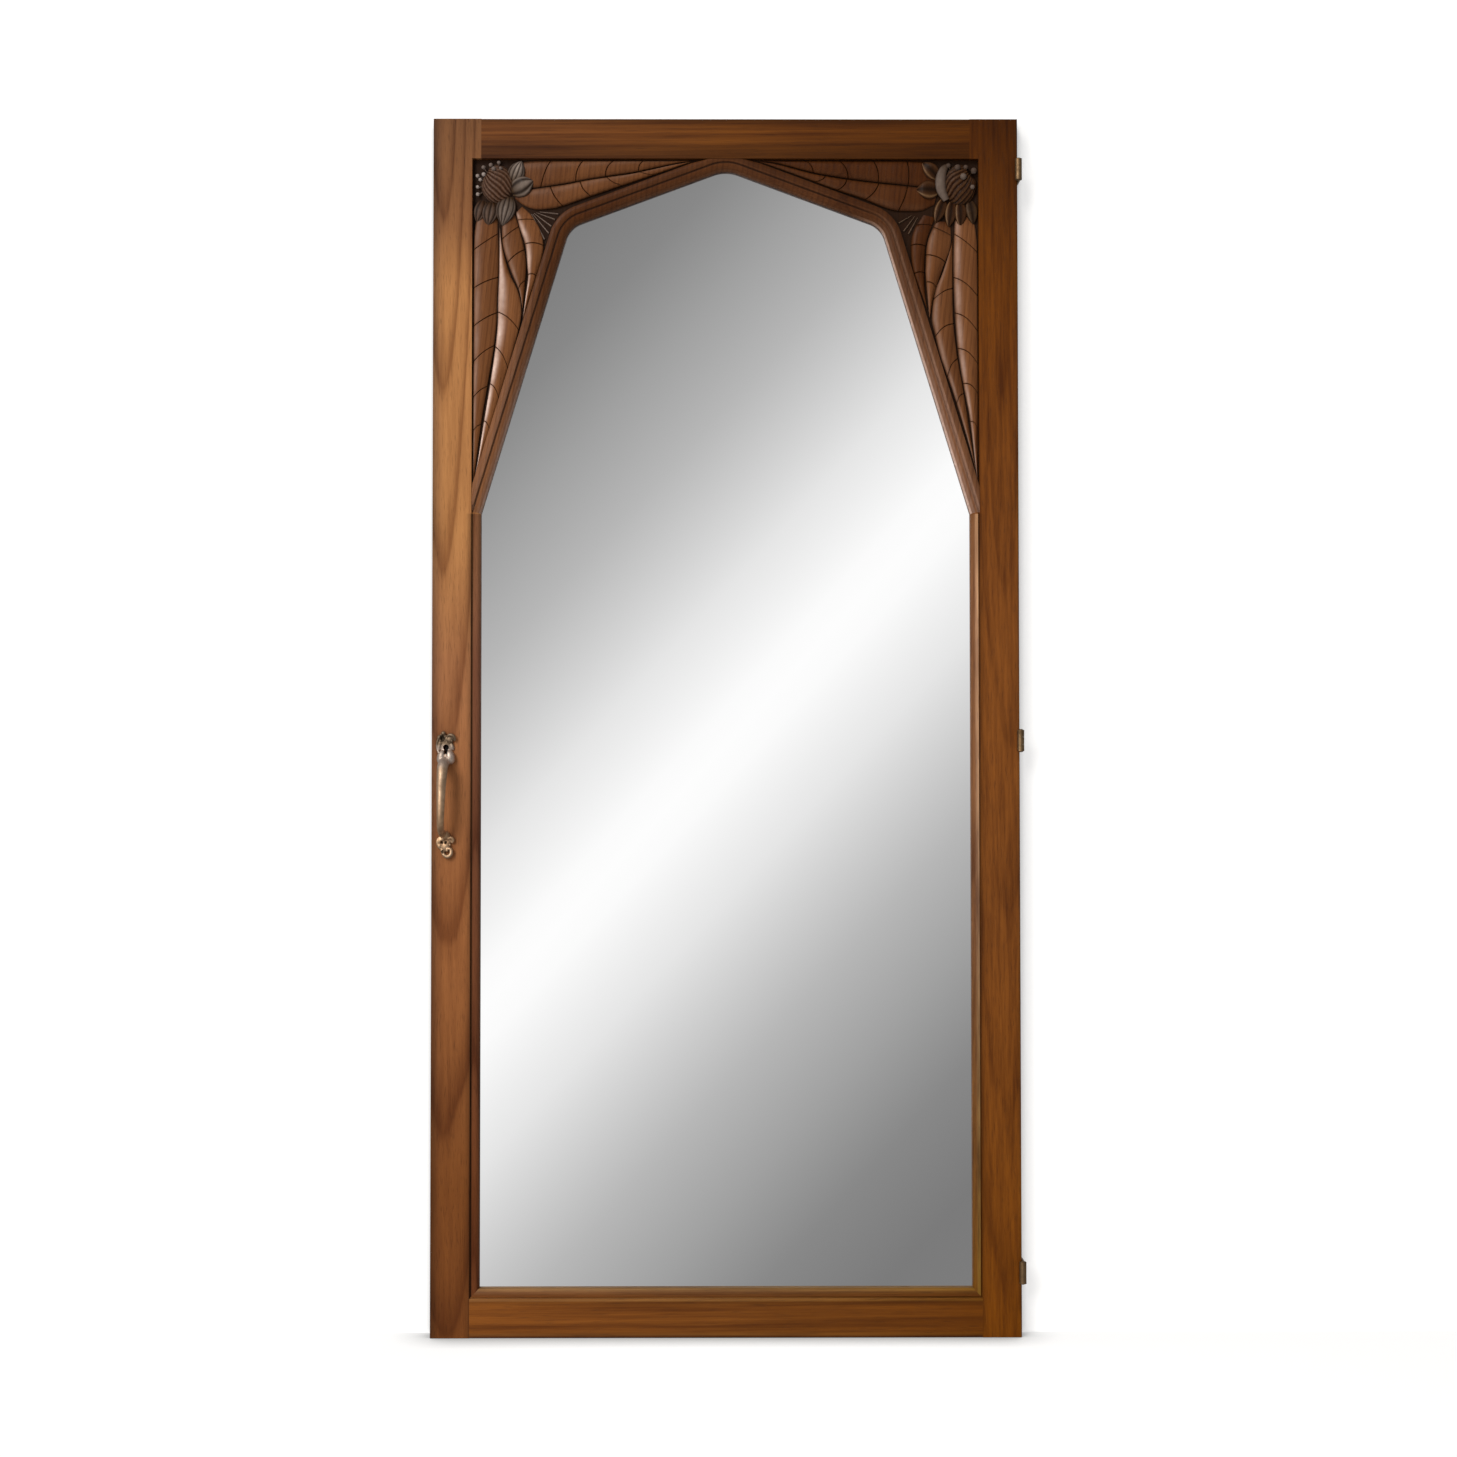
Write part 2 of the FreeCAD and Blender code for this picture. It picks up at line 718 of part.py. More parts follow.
def moulding_cutter(sight):
    """What the moulding and the border bead take off the board, swept along the sight edge."""
    lead = number("moulding_width + border_width")
    edges, start, end = sight.edges(0, lead)
    front, spare = number(FRONT), number("overrun")
    width, bead = number("moulding_width"), number("border_width")
    side = sight.outward(sight.lower_run)

    def spot(offset, depth):
        return start + side * offset + Vector(0, front + depth, 0)

    fall, crown = number("ovolo_fall"), number("ovolo_set")
    ovolo_end = width - number("quirk_width")
    radius = number(OVOLO_RADIUS)
    half = math.asin(ovolo_end / radius) / 2
    ovolo_middle = spot(ovolo_end - radius * math.sin(half), crown + radius * (1 - math.cos(half)))
    bead_edge, bead_top = number("border_edge"), number("border_set")
    outer = width + bead
    profile = [
        Part.LineSegment(spot(-spare, fall), spot(0, fall)),
        Part.Arc(spot(0, fall), ovolo_middle, spot(ovolo_end, crown)),
        Part.LineSegment(spot(ovolo_end, crown), spot(ovolo_end, number("quirk_depth"))),
        Part.LineSegment(spot(ovolo_end, number("quirk_depth")), spot(width, number("quirk_depth"))),
        Part.LineSegment(spot(width, number("quirk_depth")), spot(width, bead_edge)),
        Part.Arc(spot(width, bead_edge), spot(width + bead / 2, bead_top), spot(outer, bead_edge)),
        Part.LineSegment(spot(outer, bead_edge), spot(outer, -spare)),
        Part.LineSegment(spot(outer, -spare), spot(-spare, -spare)),
        Part.LineSegment(spot(-spare, -spare), spot(-spare, fall)),
    ]
    section = Part.Wire([line.toShape() for line in profile])
    return Part.Wire(edges).makePipeShell([section], True, False)


# Leaves as pairs of opposite edge points from root to tip, (x, down, x, down), in shares of the
# sunk field's width and height
LEAF_SHARES = {
    "head_leaf_upper": [
        (0.19, 0.010, 0.20, 0.088),
        (0.33, 0.008, 0.345, 0.080),
        (0.47, 0.008, 0.48, 0.062),
        (0.62, 0.008, 0.63, 0.046),
        (0.78, 0.008, 0.785, 0.027),
        (0.90, 0.008, 0.905, 0.013),
    ],
    "head_leaf_lower": [
        (0.20, 0.094, 0.21, 0.128),
        (0.26, 0.090, 0.29, 0.152),
        (0.345, 0.084, 0.37, 0.143),
        (0.48, 0.066, 0.51, 0.112),
        (0.63, 0.050, 0.66, 0.076),
        (0.785, 0.031, 0.80, 0.042),
        (0.88, 0.018, 0.89, 0.023),
    ],
    "stile_leaf": [
        (0.020, 0.19, 0.105, 0.20),
        (0.006, 0.28, 0.111, 0.32),
        (0.006, 0.42, 0.106, 0.44),
        (0.006, 0.58, 0.088, 0.60),
        (0.006, 0.72, 0.058, 0.74),
        (0.006, 0.86, 0.030, 0.87),
        (0.006, 0.93, 0.014, 0.935),
    ],
    "long_leaf": [
        (0.119, 0.24, 0.130, 0.25),
        (0.116, 0.33, 0.158, 0.35),
        (0.113, 0.43, 0.205, 0.43),
        (0.109, 0.52, 0.208, 0.51),
        (0.094, 0.61, 0.172, 0.605),
        (0.070, 0.715, 0.130, 0.705),
        (0.046, 0.815, 0.082, 0.81),
        (0.026, 0.90, 0.036, 0.90),
    ],
    "short_leaf": [
        (0.122, 0.19, 0.180, 0.18),
        (0.130, 0.265, 0.220, 0.255),
        (0.163, 0.335, 0.231, 0.32),
        (0.203, 0.395, 0.226, 0.385),
        (0.214, 0.43, 0.221, 0.43),
    ],
    "inner_leaf": [
        (0.192, 0.165, 0.228, 0.150),
        (0.212, 0.215, 0.286, 0.20),
        (0.232, 0.27, 0.308, 0.26),
        (0.240, 0.33, 0.298, 0.32),
        (0.236, 0.39, 0.270, 0.385),
        (0.226, 0.45, 0.236, 0.45),
    ],
}
# Petals by their turn from the level, downward, and their lift in shares of the petal's rise
PETAL_TURNS = (-34, 4, 47, 76, 108)
PETAL_SHARES = ((0.0, 0.30), (0.3, 0.80), (0.6, 1.0), (0.85, 0.75), (1.0, 0.25))


def blade(pairs, edge_height, crown_height):
    """A raised leaf lofted through arched sections between pairs of opposite edge points."""
    ground = number(FRONT) + number("field_depth")
    root = ground + number("carving_root")
    widest = max((right - left).Length for left, right in pairs)
    sections = []
    for left, right in pairs:
        fullness = math.sqrt((right - left).Length / widest)
        edge = Vector(0, ground - edge_height * fullness, 0)
        crown = Vector(0, ground - crown_height * fullness, 0)
        foot = Vector(0, root, 0)
        arch = Part.Arc(right + edge, (left + right) * 0.5 + crown, left + edge)
        lines = [
            Part.LineSegment(left + foot, right + foot),
            Part.LineSegment(right + foot, right + edge),
            arch,
            Part.LineSegment(left + edge, left + foot),
        ]
        sections.append(Part.Wire([line.toShape() for line in lines]))
    return Part.makeLoft(sections, True, False)


def leaf_pairs(shares, width, height):
    corner = Vector(-number(FLAT), 0, number(HEAD))
    return [
        (corner + Vector(x1 * width, 0, -down1 * height), corner + Vector(x2 * width, 0, -down2 * height))
        for x1, down1, x2, down2 in shares
    ]


def petal_pairs(bud, turn):
    """A petal that leaves the bud at the given turn and rounds off at its tip."""
    angle = math.radians(turn)
    out = Vector(math.cos(angle), 0, -math.sin(angle))
    across = Vector(-out.z, 0, out.x)
    start = number("bud_radius") - number("petal_length") / 4
    pairs = []
    for along_share, width_share in PETAL_SHARES:
        middle = bud + out * (start + along_share * number("petal_length") * 5 / 4)
        half = across * (number("petal_width") / 2 * width_share)
        pairs.append((middle - half, middle + half))
    return pairs


def bud_dome(bud):
    """The round flower bud, a cap of a ball that stands on the sunk field."""
    radius, rise = number("bud_radius"), number("bud_rise")
    ball = (radius**2 + rise**2) / (2 * rise)
    ground = number(FRONT) + number("field_depth")
    root = ground + number("carving_root")
    whole = Part.makeSphere(ball, bud + Vector(0, ground - rise + ball, 0))
    reach = Vector(radius * 2, 0, radius * 2)
    front = Part.makeBox(reach.x * 2, rise * 2, reach.z * 2, bud - reach + Vector(0, root - rise * 2, 0))
    return whole.common(front)


def make_left_spandrel():
    sight = SightEdge()
    front = number(FRONT)
    ground = front + number("field_depth")
    spare = number("overrun")
    sunk_field = field_prism(sight, 0, front - spare, ground)
    blank = spandrel_board(sight).cut([moulding_cutter(sight), sunk_field])
    clear = field_prism(sight, number("leaf_gap"), front - spare, ground + number("carving_root"))
    tip_x = -clear.BoundBox.XMin + clear.BoundBox.XMax
    drop = clear.BoundBox.ZMax - clear.BoundBox.ZMin
    carving = [
        blade(leaf_pairs(shares, tip_x, drop), number("leaf_edge"), number("leaf_rise"))
        for shares in LEAF_SHARES.values()
    ]
    bud = Vector(number("bud_from_stile") - number(FLAT), 0, number(HEAD) - number("bud_from_rail"))
    carving += [
        blade(petal_pairs(bud, turn), number("leaf_edge"), number("petal_rise")) for turn in PETAL_TURNS
    ]
    relief = [piece.common(clear) for piece in [*carving, bud_dome(bud)]]
    return carved("left_spandrel", blank.fuse(relief))


# Mirror glass, its blocks and the back boards


def make_glass():
    reach = f"{FLAT} - glass_edge_gap"
    glass = block(
        "mirror_glass",
        (minus(reach), reach),
        (GLASS_FRONT, GLASS_BACK),
        (f"{SILL} + glass_edge_gap", f"{HEAD} - glass_edge_gap"),
    )
    seats = []
    for side, sign in (("left", "-"), ("right", "")):
        middle = f"{sign}{FLAT} / 2"
        seats.append(
            block(
                f"{side}_setting_block",
                (f"{middle} - setting_block_length / 2", f"{middle} + setting_block_length / 2"),
                (GLASS_FRONT, GLASS_BACK),
                (SILL, f"{SILL} + glass_edge_gap"),
            )
        )
    return [glass, group("setting_blocks", seats), group("glass_blocks", glass_blocks())]


# Where the blocks sit, as shares of the opening's height on each stile and of its width on each rail
SIDE_BLOCK_SHARES = (0.06, 0.28, 0.5, 0.72, 0.94)
END_BLOCK_SHARES = (-0.6, 0, 0.6)


def glass_blocks():
    """Sloped blocks between glass and back boards, glued to the frame all round the opening."""
    blocks = []
    for side, sign in (("left", "-"), ("right", "")):
        for count, share in enumerate(SIDE_BLOCK_SHARES):
            middle = f"{SILL} + ({HEAD} - {SILL}) * {share}"
            item = sloped_block(f"{side}_glass_block_{count}", 1 if side == "left" else -1)
            place(item, (f"{sign}{FLAT}", GLASS_BACK, middle))
            blocks.append(item)
    for end, height, turn in (("sill", SILL, 1), ("head", HEAD, -1)):
        for count, share in enumerate(END_BLOCK_SHARES):
            item = sloped_block(f"{end}_glass_block_{count}", turn, upright=True)
            place(item, (f"{FLAT} * {share}", GLASS_BACK, height))
            blocks.append(item)
    return blocks


def sloped_block(name, turn, upright=False):
    """A block with a narrowed back: it lies along the frame and its width points into the opening."""
    item = doc.addObject("Part::Wedge", name)
    inward = "Z" if upright else "X"
    along = "X" if upright else "Z"
    if turn > 0:
        low, high, back_low, back_high = "0", "block_width", "0", "block_width - block_slope"
    else:
        low, high, back_low, back_high = "-block_width", "0", "block_slope - block_width", "0"
    sizes = {
        inward + "min": low,
        inward + "max": high,
        inward + "2min": back_low,
        inward + "2max": back_high,
        along + "min": "-block_length / 2",
        along + "max": "block_length / 2",
        along + "2min": "-block_length / 2",
        along + "2max": "block_length / 2",
        "Ymin": "0",
        "Ymax": f"{BOARD_FRONT} - {GLASS_BACK}",
    }
    for name_of_size, text in sizes.items():
        item.setExpression(name_of_size, cells(text))
    return item


BOARDS = ("left", "middle", "right")


def board_span(count):
    """A board's x span, with the lap that reaches under its right-hand neighbour left out."""
    reach = f"({FLAT} + board_rebate - board_gap)"
    step = f"(2 * {reach} / {len(BOARDS)})"
    return (f"-{reach} + {step} * {count}", f"-{reach} + {step} * {count + 1}")


def make_back_boards():
    heights = (f"{SILL} - board_rebate + board_gap", f"{HEAD} + board_rebate - board_gap")
    halfway = f"{BACK} - board_thickness / 2"
    boards = []
    for count, name in enumerate(BOARDS):
        low, high = board_span(count)
        last = count == len(BOARDS) - 1
        plank = block(
            f"{name}_plank", (low, high if last else f"{high} + lap_width"), (BOARD_FRONT, BACK), heights
        )
        cuts = back_screw_holes(f"{name}_board", f"board_{name}")
        if not last:
            lap = (f"{high} - board_gap", f"{high} + lap_width + overrun")
            cuts.append(block(f"{name}_over_lap", lap, (halfway, f"{BACK} + overrun"), heights))
        if count:
            lap = (f"{low} - overrun", f"{low} + lap_width + board_gap")
            cuts.append(block(f"{name}_under_lap", lap, (f"{BOARD_FRONT} - overrun", halfway), heights))
        boards.append(cut(f"back_board_{name}", plank, cuts))
    return boards


# Screw places as shares of the opening's height on the stiles and of each board's width at its ends
SIDE_SCREW_SHARES = (0.12, 0.37, 0.63, 0.88)
END_SCREW_SHARES = (0.25, 0.75)


def back_screw_places():
    """Screws of the back boards, as (tags, x, z): a tag names each piece that the screw passes through."""
    places = []
    for side, sign in (("left", "-"), ("right", "")):
        for share in SIDE_SCREW_SHARES:
            spot = (f"{sign}({FLAT} + board_rebate / 2)", f"{SILL} + ({HEAD} - {SILL}) * {share}")
            places.append(((side, f"board_{side}"), *spot))
    for end, height in (("sill", f"{SILL} - board_rebate / 2"), ("head", f"{HEAD} + board_rebate / 2")):
        for count, name in enumerate(BOARDS):
            low, high = board_span(count)
            for share in END_SCREW_SHARES:
                places.append(((end, f"board_{name}"), f"({low}) + (({high}) - ({low})) * {share}", height))
    return places


def back_screw_holes(owner, tag):
    return [
        screw(f"{owner}_back_screw_{count}_hole", "back_screw", (x, BACK, z), "-Y", "fit_gap")
        for count, (tags, x, z) in enumerate(back_screw_places())
        if tag in tags
    ]


def make_back_screws():
    return group(
        "back_screws",
        [
            screw(f"back_screw_{count}", "back_screw", (x, BACK, z), "-Y")
            for count, (tags, x, z) in enumerate(back_screw_places())
        ],
    )


# Hinges


def hinge_screw_places(height, face_x):
    return [
        (face_x, f"{FRONT} + hinge_screw_from_front", f"{height} {shift} hinge_screw_spacing / 2")
        for shift in ("-", "+")
    ]


def knuckle_span(height, count):
    """The z span of one of the three knuckles, counted from the bottom."""
    knuckle = "((hinge_height - 2 * knuckle_gap) / 3)"
    low = f"{height} - hinge_height / 2 + ({knuckle} + knuckle_gap) * {count}"
    return (low, f"{low} + {knuckle}")


def make_hinge_leaf(name, height, leaf_x, knuckles, screw_x, along):
    plate = block(
        name + "_plate",
        leaf_x,
        (FRONT, f"{FRONT} + hinge_leaf_depth"),
        (f"{height} - hinge_height / 2", f"{height} + hinge_height / 2"),
    )
    pieces = [plate]
    for count in knuckles:
        low, high = knuckle_span(height, count)
        pieces.append(block(f"{name}_neck_{count}", leaf_x, (HINGE_Y, FRONT), (low, high)))
        foot = (HINGE_X, HINGE_Y, low)
        pieces.append(rod(f"{name}_knuckle_{count}", "barrel_radius", f"({high}) - ({low})", foot, "+Z"))
    foot = (HINGE_X, HINGE_Y, f"{height} - hinge_height / 2 - overrun")
    length = "hinge_height + 2 * overrun"
    bore = rod(name + "_bore", "hinge_pin_radius + hinge_pin_fit", length, foot, "+Z")
    holes = [
        screw(f"{name}_screw_{count}_hole", "hinge_screw", spot, along, "fit_gap")
        for count, spot in enumerate(hinge_screw_places(height, screw_x))
    ]
    return cut(name, joined(name + "_curled", pieces), [bore, *holes])


def make_hinge_pin(name, height):
    half = "hinge_height / 2"
    foot = (HINGE_X, HINGE_Y, f"{height} - {half}")
    shank = rod(name + "_shank", "hinge_pin_radius", "hinge_height", foot, "+Z")
    heads = [
        cone(
            f"{name}_{end}",
            "pin_head_radius",
            "pin_head_top_radius",
            "pin_head_rise",
            (HINGE_X, HINGE_Y, f"{height} {shift} {half}"),
            along,
        )
        for end, shift, along in (("head", "+", "+Z"), ("tail", "-", "-Z"))
    ]
    return joined(name, [shank, *heads])


def make_hinges():
    pieces, screws = [], []
    opposite = f"{HALF} + hinge_leaf_spread"
    for name, height in HINGES.items():
        door_x = (f"{HALF} - hinge_leaf_thickness", HALF)
        cabinet_x = (opposite, f"{opposite} + hinge_leaf_thickness")
        pieces.append(make_hinge_leaf(f"door_leaf_{name}", height, door_x, (0, 2), HALF, "-X"))
        pieces.append(make_hinge_leaf(f"cabinet_leaf_{name}", height, cabinet_x, (1,), opposite, "+X"))
        pieces.append(make_hinge_pin(f"hinge_pin_{name}", height))
        screws += [
            screw(f"{name}_hinge_screw_{count}", "hinge_screw", spot, "-X")
            for count, spot in enumerate(hinge_screw_places(height, HALF))
        ]
    return pieces + [group("hinge_screws", screws)]


# Cast pull

# Swellings of the keyhole flower: place across and up, radii across, up and out, and turn, in shares of
# the flower's width, rise and relief
FLOWER_SHARES = (
    (0.0, 0.05, 0.34, 0.42, 1.0, 0),
    (-0.27, 0.50, 0.17, 0.42, 0.75, -32),
    (0.27, 0.50, 0.17, 0.42, 0.75, 32),
    (0.0, 0.66, 0.15, 0.34, 0.8, 0),
)
# Two lobes of the calyx under the keyhole, in shares of the flower's width, the calyx's drop and relief
CALYX_SHARES = ((-0.17, -0.60, 0.23, 0.40, 0.85, 12), (0.17, -0.60, 0.23, 0.40, 0.85, -12))
# Leaf and curls at the lower end, in shares of the foot's width, its drop below the bow and its relief
FOOT_SHARES = (
    (0.0, -0.20, 0.24, 0.26, 1.3, 0),
    (-0.20, -0.42, 0.22, 0.34, 0.9, 24),
    (0.24, -0.38, 0.15, 0.32, 0.8, -40),
    (0.08, -0.76, 0.24, 0.23, 1.0, 0),
)
# Pins beside the middle line, in the same shares
FLOWER_PIN_SHARES = (0.27, 0.42)
FOOT_PIN_SHARES = (0.22, 0.42)
# The bow's line from its upper end to its lower end: along, out of the face, and thickness, where 0 is the
# bow's own radius and 1 the radius at its upper end
BOW_SHARES = (
    (-0.04, 0.16, 1.0),
    (0.02, 0.46, 1.0),
    (0.10, 0.76, 0.8),
    (0.24, 0.94, 0.45),
    (0.42, 1.0, 0.1),
    (0.60, 1.0, 0.0),
    (0.78, 0.92, 0.0),
    (0.91, 0.70, 0.0),
    (0.98, 0.42, 0.1),
    (1.03, 0.14, 0.2),
)


def swelling(name, row, middle, width, height, relief):
    """One rounded lobe of the casting, half sunk in the door's face."""
    across, up, wide, tall, out, turn = row
    item = doc.addObject("Part::Ellipsoid", name)
    item.setExpression("Radius1", cells(f"({height}) * {tall}"))
    item.setExpression("Radius2", cells(f"({width}) * {wide}"))
    item.setExpression("Radius3", cells(f"({relief}) * {out}"))
    item.Placement = Placement(Vector(), Rotation(Vector(0, 1, 0), turn))
    place(item, (f"{KEY_X} + ({width}) * {across}", FRONT, f"{middle} + ({height}) * {up}"))
    return item


def bow_shape():
    """The bar, lofted through round sections square to its line."""
    top, bottom = number(f"{KEY_Z} - calyx_drop"), number(f"{KEY_Z} - bow_drop")
    face, reach = number(FRONT), number("bow_reach")
    middle = number(KEY_X)
    spots = [
        Vector(middle, face - out * reach, top + (bottom - top) * along)
        for along, out, full in BOW_SHARES
    ]
    sections = []
    for count, (along, out, full) in enumerate(BOW_SHARES):
        before, after = spots[max(count - 1, 0)], spots[min(count + 1, len(spots) - 1)]
        radius = number("bow_radius") + (number("bow_top_radius") - number("bow_radius")) * full
        sections.append(Part.Wire(Part.makeCircle(radius, spots[count], after - before)))
    return Part.makeLoft(sections, True, False)


def handle_pin_places():
    """Two pins in the flower's side petals and two in the foot, as (x, z)."""
    places = []
    for sign in ("-", "+"):
        across, up = FLOWER_PIN_SHARES
        places.append((f"{KEY_X} {sign} flower_width * {across}", f"{KEY_Z} + flower_rise * {up}"))
        across, down = FOOT_PIN_SHARES
        low = f"{KEY_Z} - bow_drop - (foot_drop - bow_drop) * {down}"
        places.append((f"{KEY_X} {sign} foot_width * {across}", low))
    return places


def make_handle():
    lobes = [
        swelling(f"flower_lobe_{count}", row, KEY_Z, "flower_width", "flower_rise", "flower_relief")
        for count, row in enumerate(FLOWER_SHARES)
    ]
    lobes += [
        swelling(f"calyx_lobe_{count}", row, KEY_Z, "flower_width", "calyx_drop", "calyx_relief")
        for count, row in enumerate(CALYX_SHARES)
    ]
    foot_top = f"{KEY_Z} - bow_drop"
    lobes += [
        swelling(f"foot_lobe_{count}", row, foot_top, "foot_width", "(foot_drop - bow_drop)", "foot_relief")
        for count, row in enumerate(FOOT_SHARES)
    ]
    casting = joined("pull_casting", lobes + [carved("pull_bow", bow_shape())])
    behind = block(
        "behind_face",
        (f"{KEY_X} - flower_width", f"{KEY_X} + flower_width"),
        (FRONT, f"{FRONT} + bow_reach"),
        (f"{KEY_Z} - foot_drop - overrun", f"{KEY_Z} + flower_rise + overrun"),
    )
    flush = cut("pull_flush", casting, [behind])
    holes = [
        rod(
            f"pull_pin_{count}_hole",
            "handle_pin_radius + fit_gap",
            "flower_relief * 4",
            (x, f"{FRONT} - flower_relief * 2", z),
            "+Y",
        )
        for count, (x, z) in enumerate(handle_pin_places())
    ]
    key_cut = keyhole("pull_keyhole", f"{FRONT} - calyx_relief - overrun", f"{FRONT} + overrun")
    return cut("pull_handle", flush, [key_cut, *holes])


def make_handle_pins():
    pins = []
    for count, (x, z) in enumerate(handle_pin_places()):
        name = f"handle_pin_{count}"
        neck = (x, f"{FRONT} - flower_relief", z)
        length = "handle_pin_length + flower_relief"
        shank = rod(name + "_shank", "handle_pin_radius", length, neck, "+Y")
        head = cone(name + "_head", "handle_pin_head", "handle_pin_radius", "handle_pin_radius", neck, "-Y")
        pins.append(joined(name, [shank, head]))
    return group("handle_pins", pins)


# Half-mortise lock


def lock_screw_places():
    edge = minus(HALF)
    return [
        (x, BACK, f"{KEY_Z} {shift} (lock_height / 2 - lock_screw_margin)")
        for x in (f"{edge} + lock_screw_inset", f"{edge} + lock_width - lock_screw_inset")
        for shift in ("-", "+")
    ]


def make_lock():
    edge = minus(HALF)
    plate_y = f"{BACK} - lock_plate_thickness"
    plate_z = (f"{KEY_Z} - lock_height / 2", f"{KEY_Z} + lock_height / 2")
    bolt_y = (f"{BOLT_BACK} - bolt_thickness", BOLT_BACK)
    guide = (f"{edge} + guide_from_edge", plate_y, f"{BOLT_LOW} + bolt_height / 2")
    strip_z = (f"{BOLT_TOP} + spring_lift", f"{BOLT_TOP} + spring_lift + spring_thickness")
    anchor_x = f"{edge} + case_width - case_wall - anchor_length"
    bolt_middle = f"{BOLT_BACK} - bolt_thickness / 2"
    spring_y = (f"{bolt_middle} - spring_width / 2", f"{bolt_middle} + spring_width / 2")
    selvedge_x = (edge, f"{edge} + selvedge_thickness")
    body = joined(
        "lock_plate_body",
        [
            block("lock_back_plate", (edge, f"{edge} + lock_width"), (plate_y, BACK), plate_z),
            block("lock_selvedge", selvedge_x, (f"{BACK} - selvedge_width", BACK), plate_z),
            rod("bolt_guide", "guide_radius", "bolt_thickness + 2 * bolt_gap", guide, "-Y"),
            block(
                "spring_anchor",
                (anchor_x, f"{anchor_x} + anchor_length"),
                (spring_y[0], plate_y),
                (f"{strip_z[0]} - spring_thickness", f"{strip_z[1]} + spring_thickness"),
            ),
        ],
    )
    mouth = block(
        "bolt_mouth",
        (f"{edge} - overrun", f"{edge} + selvedge_thickness + bolt_gap"),
        (f"{bolt_y[0]} - bolt_gap", f"{bolt_y[1]} + bolt_gap"),
        (f"{BOLT_LOW} - bolt_gap", f"{BOLT_TOP} + bolt_gap"),
    )
    holes = [
        screw(f"lock_screw_{count}_hole", "lock_screw", spot, "-Y", "fit_gap")
        for count, spot in enumerate(lock_screw_places())
    ]
    plate = cut("lock_plate", body, [mouth, *holes])
    return [
        plate,
        make_lock_case(edge, plate_y),
        make_bolt(edge, bolt_y, guide),
        make_spring(edge, anchor_x, spring_y, strip_z),
    ]


def make_lock_case(edge, plate_y):
    half = "case_height / 2"
    shell = block(
        "lock_case_block",
        (f"{edge} + selvedge_thickness", f"{edge} + case_width"),
        (f"{BACK} - lock_depth", plate_y),
        (f"{KEY_Z} - {half}", f"{KEY_Z} + {half}"),
    )
    hollow = block(
        "lock_case_hollow",
        (f"{edge} - overrun", f"{edge} + case_width - case_wall"),
        (f"{BACK} - lock_depth + case_wall", f"{plate_y} + overrun"),
        (f"{KEY_Z} - {half} + case_wall", f"{KEY_Z} + {half} - case_wall"),
    )
    opened = cut("lock_case_shell", shell, [hollow])
    front = f"{BACK} - lock_depth"
    return cut("lock_case", opened, [keyhole("case_keyhole", f"{front} - overrun", f"{front} + overrun")])


def make_bolt(edge, bolt_y, guide):
    bar = block("bolt_bar", (edge, f"{edge} + bolt_length"), bolt_y, (BOLT_LOW, BOLT_TOP))
    through = (f"{bolt_y[0]} - overrun", f"{bolt_y[1]} + overrun")
    reach = f"({through[1]}) - ({through[0]})"
    slot_radius = "guide_radius + bolt_gap"
    slot_end = f"{guide[0]} + bolt_throw"
    slot = joined(
        "bolt_slot",
        [
            block(
                "bolt_slot_middle",
                (guide[0], slot_end),
                through,
                (f"{guide[2]} - ({slot_radius})", f"{guide[2]} + {slot_radius}"),
            ),
            rod("bolt_slot_start", slot_radius, reach, (guide[0], through[1], guide[2]), "-Y"),
            rod("bolt_slot_end", slot_radius, reach, (slot_end, through[1], guide[2]), "-Y"),
        ],
    )
    talon_x = f"{KEY_X} - talon_width / 2"
    talon = block(
        "bolt_talon",
        (talon_x, f"{talon_x} + talon_width"),
        through,
        (f"{BOLT_LOW} - overrun", f"{BOLT_LOW} + talon_depth"),
    )
    drawn = f"{edge} + notch_from_edge"
    notches = [
        rod(f"bolt_notch_{name}", "notch_radius", reach, (spot, through[1], BOLT_TOP), "-Y")
        for name, spot in (("drawn", drawn), ("thrown", f"{drawn} + bolt_throw"))
    ]
    return cut("lock_bolt", bar, [slot, talon, *notches])


def make_spring(edge, anchor_x, spring_y, strip_z):
    nib_x = f"{edge} + notch_from_edge"
    strip = block("spring_strip", (nib_x, anchor_x), spring_y, strip_z)
    nib_z = f"{BOLT_TOP} + spring_lift - spring_thickness"
    nib = rod("spring_nib", "nib_radius", "spring_width", (nib_x, spring_y[1], nib_z), "-Y")
    return joined("bolt_spring", [strip, nib])


def make_lock_screws():
    screws = [
        screw(f"lock_screw_{count}", "lock_screw", spot, "-Y")
        for count, spot in enumerate(lock_screw_places())
    ]
    return group("lock_screws", screws)


def main():
    blank = make_stile_blank()
    left_spandrel = make_left_spandrel()
    nodes = [
        make_left_stile(blank),
        make_right_stile(blank),
        *make_rails(),
        make_pegs(),
        left_spandrel,
        mirrored("right_spandrel", left_spandrel),
        *make_glass(),
        *make_back_boards(),
        make_back_screws(),
        *make_hinges(),
        make_handle(),
        make_handle_pins(),
        *make_lock(),
        make_lock_screws(),
    ]
    doc.recompute()
    failed = [item.Label for item in doc.Objects if {"Invalid", "Error"} & set(item.State)]
    failed += [item.Label for item in nodes if item.Shape.isNull() or not item.Shape.isValid()]
    if failed:
        raise RuntimeError("failed: " + ", ".join(failed))
    os.makedirs("parts", exist_ok=True)
    for item in nodes:
        item.Shape.exportStep(f"parts/{item.Label}.step")
        print(f"{item.Label}: {len(item.Shape.Solids)} solids, {item.Shape.Volume / 1000:.2f} cm3")


main()
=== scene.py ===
"""Carved mirror door: wood, carved spandrels, cast pull, screws, mirror and stage around the CAD frame."""

import json
import math

